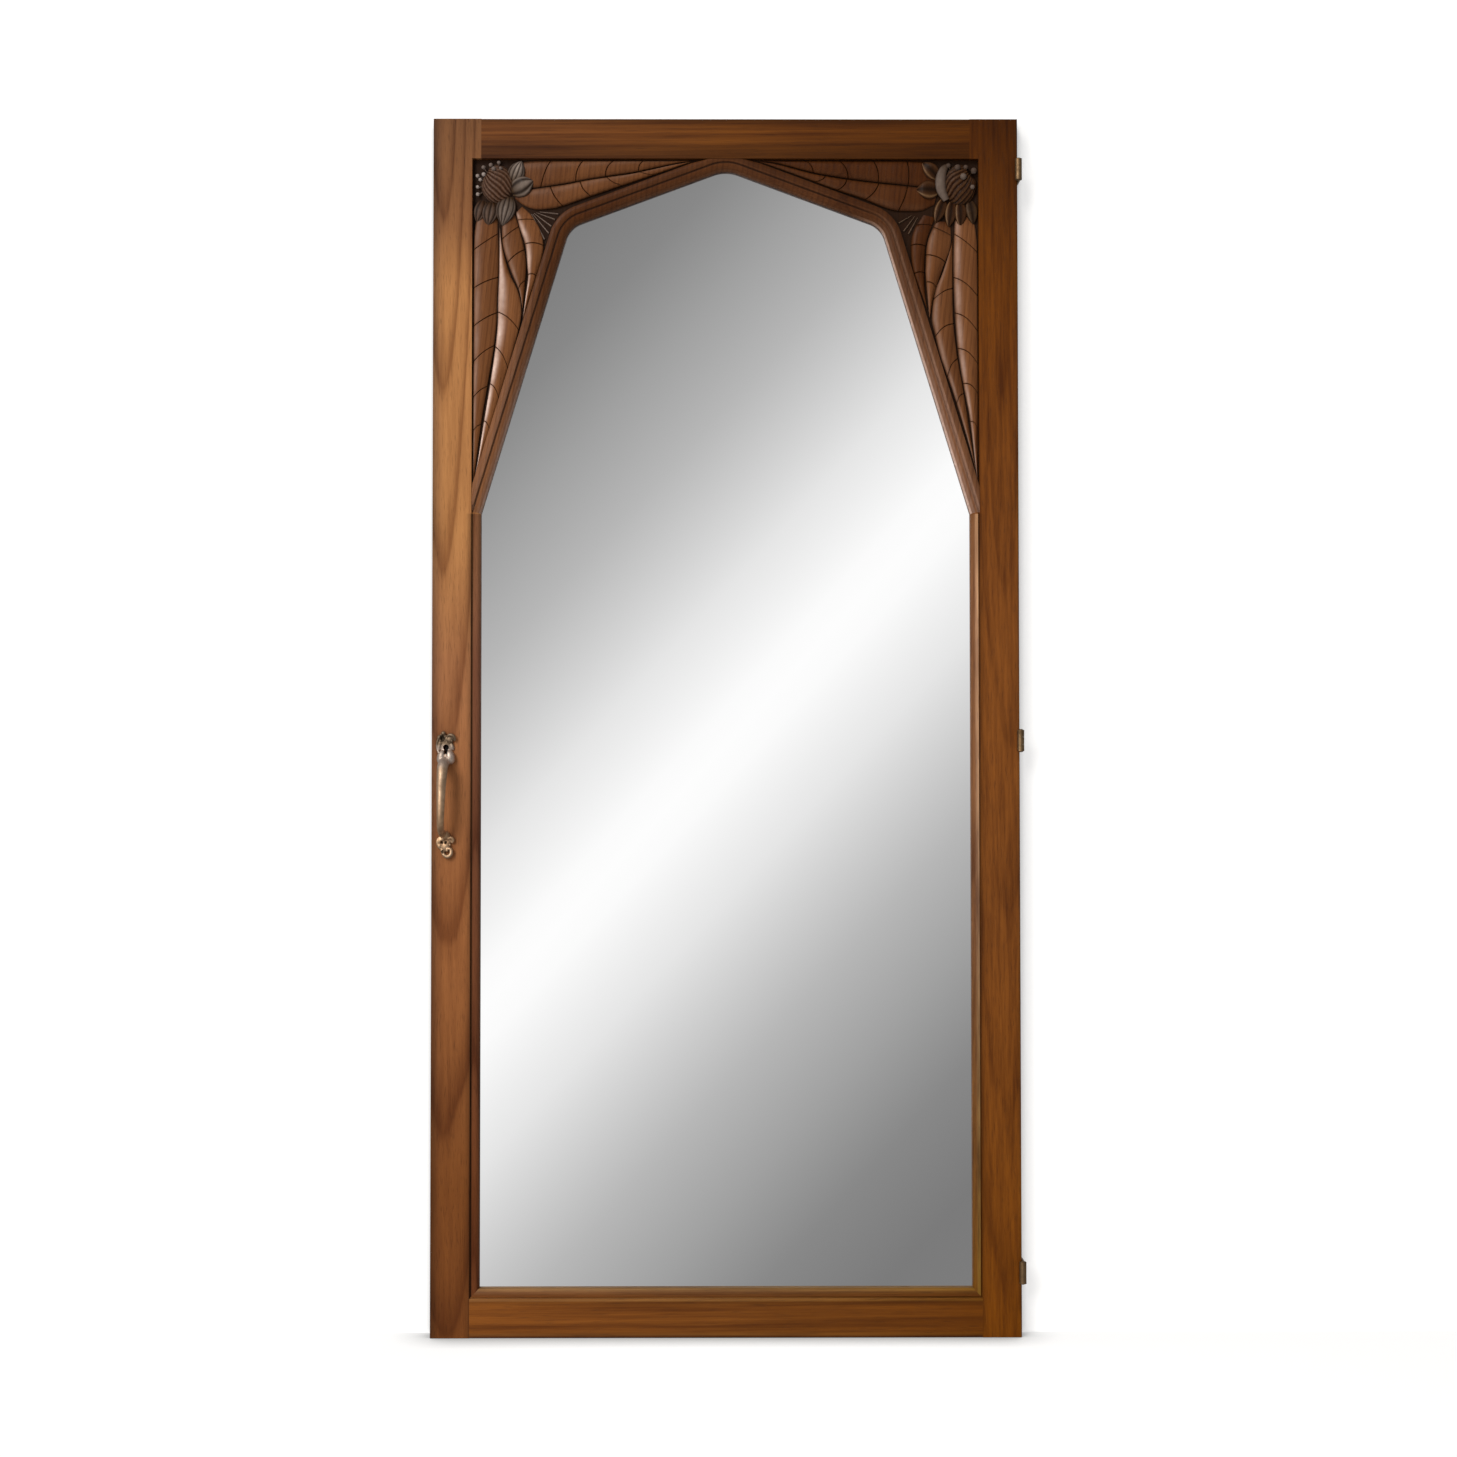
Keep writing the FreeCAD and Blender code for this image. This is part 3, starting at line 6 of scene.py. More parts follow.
import bmesh
import bpy
import numpy as np
from bpy.props import FloatProperty, FloatVectorProperty, PointerProperty
from mathutils import Euler, Matrix, Vector

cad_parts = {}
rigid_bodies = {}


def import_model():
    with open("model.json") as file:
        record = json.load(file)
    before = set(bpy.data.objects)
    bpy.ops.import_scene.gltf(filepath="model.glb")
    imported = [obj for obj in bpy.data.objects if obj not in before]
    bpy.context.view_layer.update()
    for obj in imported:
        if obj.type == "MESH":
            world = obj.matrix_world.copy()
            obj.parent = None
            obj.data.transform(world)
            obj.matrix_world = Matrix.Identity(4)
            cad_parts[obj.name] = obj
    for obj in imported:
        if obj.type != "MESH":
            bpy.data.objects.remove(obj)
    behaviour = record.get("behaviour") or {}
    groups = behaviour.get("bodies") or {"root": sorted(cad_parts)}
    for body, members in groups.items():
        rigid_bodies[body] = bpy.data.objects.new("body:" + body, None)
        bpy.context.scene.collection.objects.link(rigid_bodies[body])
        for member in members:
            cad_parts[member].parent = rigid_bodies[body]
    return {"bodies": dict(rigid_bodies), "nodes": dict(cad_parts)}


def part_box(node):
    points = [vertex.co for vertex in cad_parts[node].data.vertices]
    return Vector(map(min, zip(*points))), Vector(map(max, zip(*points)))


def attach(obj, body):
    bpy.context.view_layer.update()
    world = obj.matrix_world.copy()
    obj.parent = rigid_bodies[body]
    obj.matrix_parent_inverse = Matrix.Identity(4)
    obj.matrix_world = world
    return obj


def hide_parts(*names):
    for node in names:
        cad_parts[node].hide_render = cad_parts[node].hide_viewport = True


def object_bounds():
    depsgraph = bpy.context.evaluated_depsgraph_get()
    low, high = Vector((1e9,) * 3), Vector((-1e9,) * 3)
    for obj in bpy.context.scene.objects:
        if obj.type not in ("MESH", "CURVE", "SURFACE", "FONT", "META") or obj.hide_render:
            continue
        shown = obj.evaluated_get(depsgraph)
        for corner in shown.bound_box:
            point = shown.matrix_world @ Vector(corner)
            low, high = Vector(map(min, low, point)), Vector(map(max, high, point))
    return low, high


bl_info = {
    "name": "Carved Mirror Door",
    "version": (1, 0, 0),
    "blender": (4, 5, 0),
    "location": "3D View > Sidebar > Mirror Door",
    "description": "Carved spandrels, cast pull, screws, woods, mirror and stage for a mirrored wardrobe door",
    "category": "Add Mesh",
}

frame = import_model()
CAD_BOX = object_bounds()
NODES = frame["nodes"]
MM = 0.001

# Places on the door that the carving and the pull are set out from, in millimetres
STILE_LOW, STILE_HIGH = (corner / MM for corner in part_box("left_stile"))
FACE = STILE_LOW.y
SIGHT = -STILE_HIGH.x
RAIL_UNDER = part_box("top_rail")[0].z / MM
SPANDREL_LOW, SPANDREL_HIGH = (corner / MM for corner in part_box("left_spandrel"))
LIP = SPANDREL_HIGH.y - FACE
KNEE = SPANDREL_LOW.z
PULL_LOW, PULL_HIGH = (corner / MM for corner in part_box("pull_handle"))
TENON = 42.0
STILE_EDGE = -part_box("bottom_rail")[0].x / MM - TENON


# Sizes and colours that a user would change


class CarvingSizes(bpy.types.PropertyGroup):
    """Sizes of the moulding and of the carved leaves and flowers"""

    border: FloatProperty(
        name="Border", description="Width of the bead between moulding and field", default=0.011, unit="LENGTH"
    )
    field_depth: FloatProperty(
        name="Field depth", description="How far the carved ground lies below the face", default=0.009, unit="LENGTH"
    )
    leaf_crown: FloatProperty(
        name="Leaf crown", description="Height of a leaf's middle above the ground", default=0.0078, unit="LENGTH"
    )
    leaf_edge: FloatProperty(
        name="Leaf edge", description="Height of a leaf's edge above the ground", default=0.0030, unit="LENGTH"
    )
    vein_width: FloatProperty(name="Vein width", description="Width of the cut veins", default=0.0022, unit="LENGTH")
    vein_depth: FloatProperty(name="Vein depth", description="Depth of the cut veins", default=0.0017, unit="LENGTH")
    stamen: FloatProperty(name="Stamen", description="Radius of the beads on the flower", default=0.0026, unit="LENGTH")


class WoodColours(bpy.types.PropertyGroup):
    """Light and dark tone of each wood"""

    # The left stile's tones are paler than the frame's: partly its paler wood, partly a painted sheen of the window
    # light on the left
    left_light: FloatVectorProperty(
        name="Left stile, light", description="Pale wood of the left stile", subtype="COLOR",
        default=(0.350, 0.156, 0.053),
    )
    left_dark: FloatVectorProperty(
        name="Left stile, dark", description="Late wood of the left stile", subtype="COLOR",
        default=(0.165, 0.062, 0.019),
    )
    frame_light: FloatVectorProperty(
        name="Frame, light", description="Pale wood of rails and right stile", subtype="COLOR",
        default=(0.215, 0.066, 0.0125),
    )
    frame_dark: FloatVectorProperty(
        name="Frame, dark", description="Late wood of rails and right stile", subtype="COLOR",
        default=(0.080, 0.021, 0.0040),
    )
    carved_light: FloatVectorProperty(
        name="Carving, light", description="Pale wood of the spandrels", subtype="COLOR",
        default=(0.205, 0.082, 0.030),
    )
    carved_dark: FloatVectorProperty(
        name="Carving, dark", description="Late wood of the spandrels", subtype="COLOR",
        default=(0.095, 0.033, 0.011),
    )
    back_light: FloatVectorProperty(
        name="Back, light", description="Pale wood of the back boards", subtype="COLOR", default=(0.44, 0.29, 0.155)
    )
    back_dark: FloatVectorProperty(
        name="Back, dark", description="Late wood of the back boards", subtype="COLOR", default=(0.25, 0.145, 0.07)
    )


class MetalColours(bpy.types.PropertyGroup):
    """Bright and tarnished tone of each metal"""

    brass: FloatVectorProperty(
        name="Brass", description="Rubbed brass of hinges and bolt", subtype="COLOR", default=(0.26, 0.165, 0.085)
    )
    brass_tarnish: FloatVectorProperty(
        name="Brass tarnish", description="Dull film on the hinges", subtype="COLOR", default=(0.12, 0.075, 0.04)
    )
    bronze: FloatVectorProperty(
        name="Bronze", description="Rubbed bronze of the pull", subtype="COLOR", default=(0.50, 0.36, 0.25)
    )
    bronze_tarnish: FloatVectorProperty(
        name="Bronze tarnish", description="Dark film in the pull's hollows", subtype="COLOR",
        default=(0.15, 0.095, 0.06),
    )
    iron: FloatVectorProperty(
        name="Iron", description="Lock plate and case", subtype="COLOR", default=(0.22, 0.21, 0.20)
    )
    iron_rust: FloatVectorProperty(
        name="Iron rust", description="Brown film on the lock", subtype="COLOR", default=(0.12, 0.07, 0.045)
    )


class StageSettings(bpy.types.PropertyGroup):
    """Camera and light"""

    camera_place: FloatVectorProperty(
        name="Camera", description="Place of the camera", subtype="TRANSLATION", default=(-0.0114, -3.015, 0.7899)
    )
    camera_turn: FloatVectorProperty(
        name="Camera turn", description="Tilt up, roll and turn to the left", subtype="EULER",
        default=(math.radians(91.493), math.radians(0.029), math.radians(-0.29)),
    )
    lens: FloatProperty(name="Lens", description="Focal length in millimetres", default=51.66)
    key: FloatProperty(name="Key", description="Strength of the soft sun from the upper left", default=2.1)
    window: FloatProperty(
        name="Window", description="Power of the window light on the left", default=40.0, unit="POWER"
    )
    sky: FloatProperty(name="Sky", description="Strength of the even light from all round", default=0.52)


# Building blocks for nodes


def fill(tree, socket, value):
    """Gives a socket a number or colour, or links another node's output to it."""
    if isinstance(value, bpy.types.NodeSocket):
        tree.links.new(value, socket)
    else:
        socket.default_value = value


def put(tree, kind, values=None, **settings):
    """Adds a node; values fill its inputs with numbers or with other nodes' outputs."""
    node = tree.nodes.new(kind)
    for name, value in settings.items():
        setattr(node, name, value)
    for name, value in (values or {}).items():
        fill(tree, node.inputs[name], value)
    return node


def maths(tree, operation, first, second=0.0, clamp=False):
    return put(tree, "ShaderNodeMath", {0: first, 1: second}, operation=operation, use_clamp=clamp).outputs[0]


def scaled(tree, vector, scale):
    return put(tree, "ShaderNodeVectorMath", {0: vector, 1: scale}, operation="MULTIPLY").outputs[0]


def ramp(tree, value, stops):
    """A colour ramp; stops are (place, grey) or (place, colour)."""
    node = put(tree, "ShaderNodeValToRGB", {0: value})
    elements = node.color_ramp.elements
    while len(elements) < len(stops):
        elements.new(0.5)
    for element, (spot, tone) in zip(elements, stops):
        element.position = spot
        element.color = (tone, tone, tone, 1.0) if isinstance(tone, float) else (*tone, 1.0)
    return node.outputs[0]


def noise(tree, vector, scale=1.0, detail=3.0, rough=0.5, output="Fac"):
    values = {"Vector": vector, "Scale": scale, "Detail": detail, "Roughness": rough}
    return put(tree, "ShaderNodeTexNoise", values).outputs[output]


def mix(tree, amount, first, second, kind="MIX"):
    """Blends two colours by an amount."""
    node = put(tree, "ShaderNodeMix", data_type="RGBA", blend_type=kind)
    colours = [socket for socket in node.inputs if socket.type == "RGBA"]
    for socket, value in zip([node.inputs[0], *colours], (amount, first, second)):
        ready = isinstance(value, (float, bpy.types.NodeSocket))
        fill(tree, socket, value if ready else (*value[:3], 1.0))
    return next(socket for socket in node.outputs if socket.type == "RGBA")


def either(tree, amount, first, second):
    """Blends two shaders by an amount."""
    return put(tree, "ShaderNodeMixShader", {0: amount, 1: first, 2: second}).outputs[0]


def new_group(name, inputs, outputs, kind="ShaderNodeTree"):
    """An empty node group with named sockets, and its input and output nodes."""
    tree = bpy.data.node_groups.new(name, kind)
    for label, socket, default in inputs:
        made = tree.interface.new_socket(name=label, in_out="INPUT", socket_type=socket)
        if default is not None:
            made.default_value = default
    for label, socket in outputs:
        tree.interface.new_socket(name=label, in_out="OUTPUT", socket_type=socket)
    return tree, tree.nodes.new("NodeGroupInput").outputs, tree.nodes.new("NodeGroupOutput").inputs


# Shared surface effects

COLOUR, NUMBER, WHOLE = "NodeSocketColor", "NodeSocketFloat", "NodeSocketInt"


def wood_group():
    """Growth rings, fibres and pores of a board whose grain runs along its vector's Z."""
    if "wood" in bpy.data.node_groups:
        return bpy.data.node_groups["wood"]
    tree, given, made = new_group(
        "wood",
        [
            ("Vector", "NodeSocketVector", None),
            ("Light", COLOUR, (0.4, 0.2, 0.08, 1.0)),
            ("Dark", COLOUR, (0.15, 0.06, 0.02, 1.0)),
            ("Ring width", NUMBER, 0.006),
            ("Ring strength", NUMBER, 0.6),
            ("Fibre strength", NUMBER, 0.35),
            ("Blotch strength", NUMBER, 0.4),
        ],
        [("Color", COLOUR), ("Height", NUMBER), ("Gloss", NUMBER)],
    )
    vector = given["Vector"]
    sway = noise(tree, scaled(tree, vector, (9.0, 9.0, 1.1)), detail=2.0, output="Color")
    sway = put(tree, "ShaderNodeVectorMath", {0: sway, 1: (0.5, 0.5, 0.5)}, operation="SUBTRACT").outputs[0]
    sway = scaled(tree, sway, (0.020, 0.020, 0.0))
    bent = put(tree, "ShaderNodeVectorMath", {0: vector, 1: sway}, operation="ADD").outputs[0]
    radial = scaled(tree, bent, (1.0, 1.0, 0.0))
    radius = put(tree, "ShaderNodeVectorMath", {0: radial}, operation="LENGTH").outputs["Value"]
    ring = maths(tree, "FRACT", maths(tree, "DIVIDE", radius, given["Ring width"]))
    late = ramp(tree, ring, [(0.0, 0.30), (0.12, 0.02), (0.60, 0.16), (0.93, 1.0), (1.0, 0.30)])
    fibre = noise(tree, scaled(tree, vector, (190.0, 190.0, 4.0)), detail=5.0, rough=0.62)
    fibre = ramp(tree, fibre, [(0.36, 0.0), (0.64, 1.0)])
    pore = noise(tree, scaled(tree, vector, (900.0, 900.0, 30.0)), detail=1.0)
    pore = ramp(tree, pore, [(0.60, 0.0), (0.72, 1.0)])
    blotch = noise(tree, scaled(tree, vector, (16.0, 16.0, 2.2)), detail=2.0)
    blotch = ramp(tree, blotch, [(0.30, 0.0), (0.72, 1.0)])
    tone = maths(tree, "MULTIPLY", late, given["Ring strength"])
    tone = maths(tree, "ADD", tone, maths(tree, "MULTIPLY", fibre, given["Fibre strength"]))
    tone = maths(tree, "ADD", tone, maths(tree, "MULTIPLY", blotch, given["Blotch strength"]), clamp=True)
    base = mix(tree, tone, given["Light"], given["Dark"])
    fill(tree, made["Color"], mix(tree, maths(tree, "MULTIPLY", pore, 0.30), base, (0.03, 0.012, 0.006)))
    height = maths(tree, "SUBTRACT", maths(tree, "MULTIPLY", fibre, 0.35), maths(tree, "MULTIPLY", pore, 0.65))
    fill(tree, made["Height"], height)
    gloss = maths(tree, "ADD", maths(tree, "MULTIPLY", fibre, 0.5), maths(tree, "MULTIPLY", pore, 0.5))
    fill(tree, made["Gloss"], gloss)
    return tree


def metal_group():
    """Cloudy tarnish with rubbed places and fine pitting."""
    if "aged_metal" in bpy.data.node_groups:
        return bpy.data.node_groups["aged_metal"]
    tree, given, made = new_group(
        "aged_metal",
        [
            ("Vector", "NodeSocketVector", None),
            ("Bright", COLOUR, (0.6, 0.45, 0.2, 1.0)),
            ("Tarnish", COLOUR, (0.2, 0.13, 0.06, 1.0)),
            ("Cloud size", NUMBER, 120.0),
            ("Tarnish strength", NUMBER, 0.6),
        ],
        [("Color", COLOUR), ("Height", NUMBER), ("Rough", NUMBER)],
    )
    cloud = noise(tree, given["Vector"], given["Cloud size"], detail=5.0, rough=0.6)
    cloud = ramp(tree, cloud, [(0.32, 0.0), (0.68, 1.0)])
    pits = noise(tree, scaled(tree, given["Vector"], (900.0, 900.0, 900.0)), detail=2.0)
    dull = maths(tree, "MULTIPLY", cloud, given["Tarnish strength"], clamp=True)
    fill(tree, made["Color"], mix(tree, dull, given["Bright"], given["Tarnish"]))
    fill(tree, made["Height"], maths(tree, "SUBTRACT", pits, maths(tree, "MULTIPLY", cloud, 0.4)))
    fill(tree, made["Rough"], dull)
    return tree


def new_material(name):
    material = bpy.data.materials.new(name)
    material.use_nodes = True
    tree = material.node_tree
    tree.nodes.clear()
    return material, tree, tree.nodes.new("ShaderNodeOutputMaterial").inputs["Surface"]


BUMP = 0.6
GRAIN_DEPTH, PIT_DEPTH = 0.0003, 0.00006
WAX = 0.06  # how strongly waxed wood mirrors


def surface(tree, output, colour, rough, height, depth, fixed):
    """A Principled surface with a bump; fixed values go straight to its sockets."""
    bump = put(tree, "ShaderNodeBump", {"Height": height, "Strength": BUMP, "Distance": depth}).outputs[0]
    values = {"Base Color": colour, "Roughness": rough, "Normal": bump, **fixed}
    fill(tree, output, put(tree, "ShaderNodeBsdfPrincipled", values).outputs[0])


def wood_material(
    name, light, dark, pith, turn, ring=0.006, rings=0.6, fibre=0.35, blotch=0.4, rough=0.40, edit=None
):
    """Waxed wood; pith is where the tree's heart lies and turn lays the grain along the member."""
    material, tree, output = new_material(name)
    spot = put(tree, "ShaderNodeTexCoord").outputs["Object"]
    laid = put(tree, "ShaderNodeMapping", {"Vector": spot, "Location": pith, "Rotation": turn}).outputs[0]
    values = {
        "Vector": laid, "Light": (*light, 1.0), "Dark": (*dark, 1.0), "Ring width": ring, "Ring strength": rings,
        "Fibre strength": fibre, "Blotch strength": blotch,
    }
    grain = put(tree, "ShaderNodeGroup", values, node_tree=wood_group()).outputs
    colour = edit(tree, spot, grain["Color"]) if edit else grain["Color"]
    gloss = maths(tree, "ADD", maths(tree, "MULTIPLY", grain["Gloss"], 0.16), rough)
    surface(tree, output, colour, gloss, grain["Height"], GRAIN_DEPTH, {"Specular IOR Level": WAX})
    return material


def metal_material(name, bright, tarnish, cloud, strength, rough, edit=None):
    """Aged metal; cloud is how fine its tarnish is and strength how much of it there is."""
    material, tree, output = new_material(name)
    spot = put(tree, "ShaderNodeTexCoord").outputs["Object"]
    values = {
        "Vector": spot, "Bright": (*bright, 1.0), "Tarnish": (*tarnish, 1.0), "Cloud size": cloud,
        "Tarnish strength": strength,
    }
    aged = put(tree, "ShaderNodeGroup", values, node_tree=metal_group()).outputs
    dull = maths(tree, "ADD", maths(tree, "MULTIPLY", aged["Rough"], 0.3), rough)
    colour = edit(tree, spot, aged["Color"]) if edit else aged["Color"]
    surface(tree, output, colour, dull, aged["Height"], PIT_DEPTH, {"Metallic": 1.0})
    return material


def wear(material, *names):
    """Gives carried-over nodes a material."""
    for name in names:
        slots = NODES[name].data.materials
        slots.clear()
        slots.append(material)


# Building blocks for meshes


def add_object(name, data):
    piece = bpy.data.objects.new(name, data)
    bpy.context.scene.collection.objects.link(piece)
    return piece


def settle(piece, body, slot, *nodes):
    """Hands a finished piece to its body and hides the nodes that it stands for; the slot argument is not used."""
    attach(piece, body)
    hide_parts(*nodes)


def baked(piece):
    """Turns a piece with modifiers into a plain mesh."""
    graph = bpy.context.evaluated_depsgraph_get()
    mesh = bpy.data.meshes.new_from_object(piece.evaluated_get(graph))
    old = piece.data
    piece.modifiers.clear()
    piece.data = mesh
    mesh.name = piece.name
    bpy.data.meshes.remove(old)
    return piece


def mark(mesh, label, values):
    """Keeps one number for each point under a name that a material or a tree reads."""
    layer = mesh.attributes.get(label) or mesh.attributes.new(label, "FLOAT", "POINT")
    layer.data.foreach_set("value", np.broadcast_to(values, len(layer.data)).astype(np.float32))


def tidy_normals(mesh, angle=38.0):
    """Turns every shell's faces outward and keeps only its sharp edges hard."""
    work = bmesh.new()
    work.from_mesh(mesh)
    bmesh.ops.recalc_face_normals(work, faces=work.faces)
    work.to_mesh(mesh)
    work.free()
    mesh.polygons.foreach_set("use_smooth", [True] * len(mesh.polygons))
    mesh.set_sharp_from_angle(angle=math.radians(angle))
    mesh.update()


def geometry_tree(name, inputs):
    shape = "NodeSocketGeometry"
    return new_group(name, [("Geometry", shape, None), *inputs], [("Geometry", shape)], "GeometryNodeTree")


def grown(piece, tree, values):
    """Runs a geometry tree on a piece with the given inputs and keeps the result as a plain mesh."""
    modifier = piece.modifiers.new(tree.name, "NODES")
    modifier.node_group = tree
    for item in tree.interface.items_tree:
        if item.item_type == "SOCKET" and item.in_out == "INPUT" and item.name in values:
            modifier[item.identifier] = values[item.name]
    piece.update_tag()
    bpy.context.view_layer.update()
    return baked(piece)


def finish_tree(tree, made, geometry, material):
    """The end of every geometry tree: real meshes with their material."""
    real = put(tree, "GeometryNodeRealizeInstances", {0: geometry}).outputs[0]
    dressed = put(tree, "GeometryNodeSetMaterial", {"Geometry": real, "Material": material})
    fill(tree, made[0], dressed.outputs[0])
    return tree


def chance(tree, seed, low, high):
    """A random number between two limits for each point."""
    node = put(tree, "FunctionNodeRandomValue", {"Seed": seed}, data_type="FLOAT")
    limits = [socket for socket in node.inputs if socket.type == "VALUE"]
    limits[0].default_value, limits[1].default_value = low, high
    return next(socket for socket in node.outputs if socket.type == "VALUE")


def upright(tree, length):
    return put(tree, "ShaderNodeCombineXYZ", {"Z": length}).outputs[0]


def sunk_cone(tree, sides, top, bottom, depth, drop):
    """A cone whose foot stands at drop below the surface."""
    values = {"Vertices": sides, "Radius Top": top, "Radius Bottom": bottom, "Depth": depth}
    cone = put(tree, "GeometryNodeMeshCone", values).outputs["Mesh"]
    place = upright(tree, maths(tree, "MULTIPLY", drop, -1.0))
    return put(tree, "GeometryNodeTransform", {"Geometry": cone, "Translation": place}).outputs[0]


def screw_tree():
    """Slotted countersunk screws on points, all along one direction."""
    if "slotted_screws" in bpy.data.node_groups:
        return bpy.data.node_groups["slotted_screws"]
    tree, given, made = geometry_tree(
        "slotted_screws",
        [
            ("Head radius", NUMBER, 0.0032),
            ("Shank radius", NUMBER, 0.0015),
            ("Sink", NUMBER, 0.0018),
            ("Length", NUMBER, 0.016),
            ("Turn", "NodeSocketRotation", None),
            ("Seed", WHOLE, 1),
            ("Material", "NodeSocketMaterial", None),
        ],
    )
    head, shank, sink, length = (given[name] for name in ("Head radius", "Shank radius", "Sink", "Length"))
    cap = sunk_cone(tree, 24, head, shank, sink, sink)
    slot = {
        "X": maths(tree, "MULTIPLY", head, 2.4),
        "Y": maths(tree, "MULTIPLY", head, 0.26),
        "Z": maths(tree, "MULTIPLY", sink, 1.1),
    }
    size = put(tree, "ShaderNodeCombineXYZ", slot).outputs[0]
    cutter = put(tree, "GeometryNodeMeshCube", {"Size": size}).outputs[0]
    slotted = put(tree, "GeometryNodeMeshBoolean", {"Mesh 1": cap, "Mesh 2": cutter}, operation="DIFFERENCE")
    point = sunk_cone(tree, 16, shank, 0.2 * MM, maths(tree, "SUBTRACT", length, sink), length)
    joined = put(tree, "GeometryNodeJoinGeometry", {0: point})
    fill(tree, joined.inputs[0], slotted.outputs[0])
    values = {"Points": given["Geometry"], "Instance": joined.outputs[0], "Rotation": given["Turn"]}
    spread = put(tree, "GeometryNodeInstanceOnPoints", values).outputs[0]
    spin = upright(tree, chance(tree, given["Seed"], 0.0, math.pi))
    turned = put(tree, "GeometryNodeRotateInstances", {"Instances": spread, "Rotation": spin})
    return finish_tree(tree, made, turned.outputs[0], given["Material"])


def bead_tree():
    """Round beads on points, each a little different."""
    if "stamen_beads" in bpy.data.node_groups:
        return bpy.data.node_groups["stamen_beads"]
    tree, given, made = geometry_tree(
        "stamen_beads", [("Radius", NUMBER, 0.0026), ("Seed", WHOLE, 1), ("Material", "NodeSocketMaterial", None)]
    )
    ball = put(tree, "GeometryNodeMeshIcoSphere", {"Radius": given["Radius"], "Subdivisions": 3}).outputs["Mesh"]
    size = chance(tree, given["Seed"], 0.75, 1.2)
    spread = put(
        tree, "GeometryNodeInstanceOnPoints", {"Points": given["Geometry"], "Instance": ball, "Scale": size}
    )
    real = put(tree, "GeometryNodeRealizeInstances", {0: spread.outputs[0]}).outputs[0]
    smooth = put(tree, "GeometryNodeSetShadeSmooth", {"Geometry": real})
    return finish_tree(tree, made, smooth.outputs[0], given["Material"])


def bar_tree():
    """A round bar along a line whose points carry their own thickness."""
    if "tapered_bar" in bpy.data.node_groups:
        return bpy.data.node_groups["tapered_bar"]
    tree, given, made = geometry_tree(
        "tapered_bar", [("Sides", WHOLE, 20), ("Material", "NodeSocketMaterial", None)]
    )
    line = put(tree, "GeometryNodeMeshToCurve", {"Mesh": given["Geometry"]}).outputs[0]
    thick = put(tree, "GeometryNodeInputNamedAttribute", {"Name": "thickness"}, data_type="FLOAT").outputs["Attribute"]
    line = put(tree, "GeometryNodeSetCurveRadius", {"Curve": line, "Radius": thick}).outputs[0]
    ring = put(tree, "GeometryNodeCurvePrimitiveCircle", {"Resolution": given["Sides"], "Radius": 1.0})
    radius = put(tree, "GeometryNodeInputRadius").outputs[0]
    values = {"Curve": line, "Profile Curve": ring.outputs["Curve"], "Scale": radius, "Fill Caps": True}
    bar = put(tree, "GeometryNodeCurveToMesh", values)
    return finish_tree(tree, made, bar.outputs[0], given["Material"])


def line_object(name, points, thickness):
    """A line of points in millimetres with a thickness at each."""
    mesh = bpy.data.meshes.new(name)
    mesh.from_pydata([Vector(point) * MM for point in points], [(i, i + 1) for i in range(len(points) - 1)], [])
    mark(mesh, "thickness", np.array(thickness) * MM)
    return add_object(name, mesh)


def spline(points, count):
    """A smooth line through given points, evenly spaced in its first two columns, and its length."""
    points = np.asarray(points, float)
    padded = np.vstack([2 * points[0] - points[1], points, 2 * points[-1] - points[-2]])
    t = np.linspace(0, 1, 24, endpoint=False)[:, None]
    fine = []
    for a, b, c, d in zip(padded, padded[1:], padded[2:], padded[3:]):
        fine.append(0.5 * (2 * b + (c - a) * t + (2 * a - 5 * b + 4 * c - d) * t**2 + (3 * b - 3 * c + d - a) * t**3))
    fine = np.vstack([*fine, points[-1:]])
    length = np.concatenate([[0], np.cumsum(np.linalg.norm(np.diff(fine[:, :2], axis=0), axis=1))])
    spots = np.linspace(0, length[-1], count)
    return np.stack([np.interp(spots, length, column) for column in fine.T], axis=1), length[-1]


def numbered(rows, columns):
    return np.arange(rows * columns).reshape(rows, columns)


def quads(index):
    """Four-cornered faces between the neighbours in a grid of numbers."""
    corners = (index[:-1, :-1], index[:-1, 1:], index[1:, 1:], index[1:, :-1])
    return [tuple(face) for face in np.stack(corners, axis=-1).reshape(-1, 4).tolist()]


def around(index):
    """The numbers along the border of a grid, once round."""
    return [*index[0], *index[1:, -1], *index[-1, -2::-1], *index[-2:0:-1, 0]]


# Carved spandrels. A point is (across from the stile, down from the rail, up from the ground) in millimetres.

FOOTING = -0.8  # how far the carved shells reach into the ground
# The four marks: cut is painted shade in cuts, gaps and on the sunk ground, the second mark a painted highlight, dust
# grey dust, deep painted shade
MARKS = ("cut", "rub", "dust", "deep")


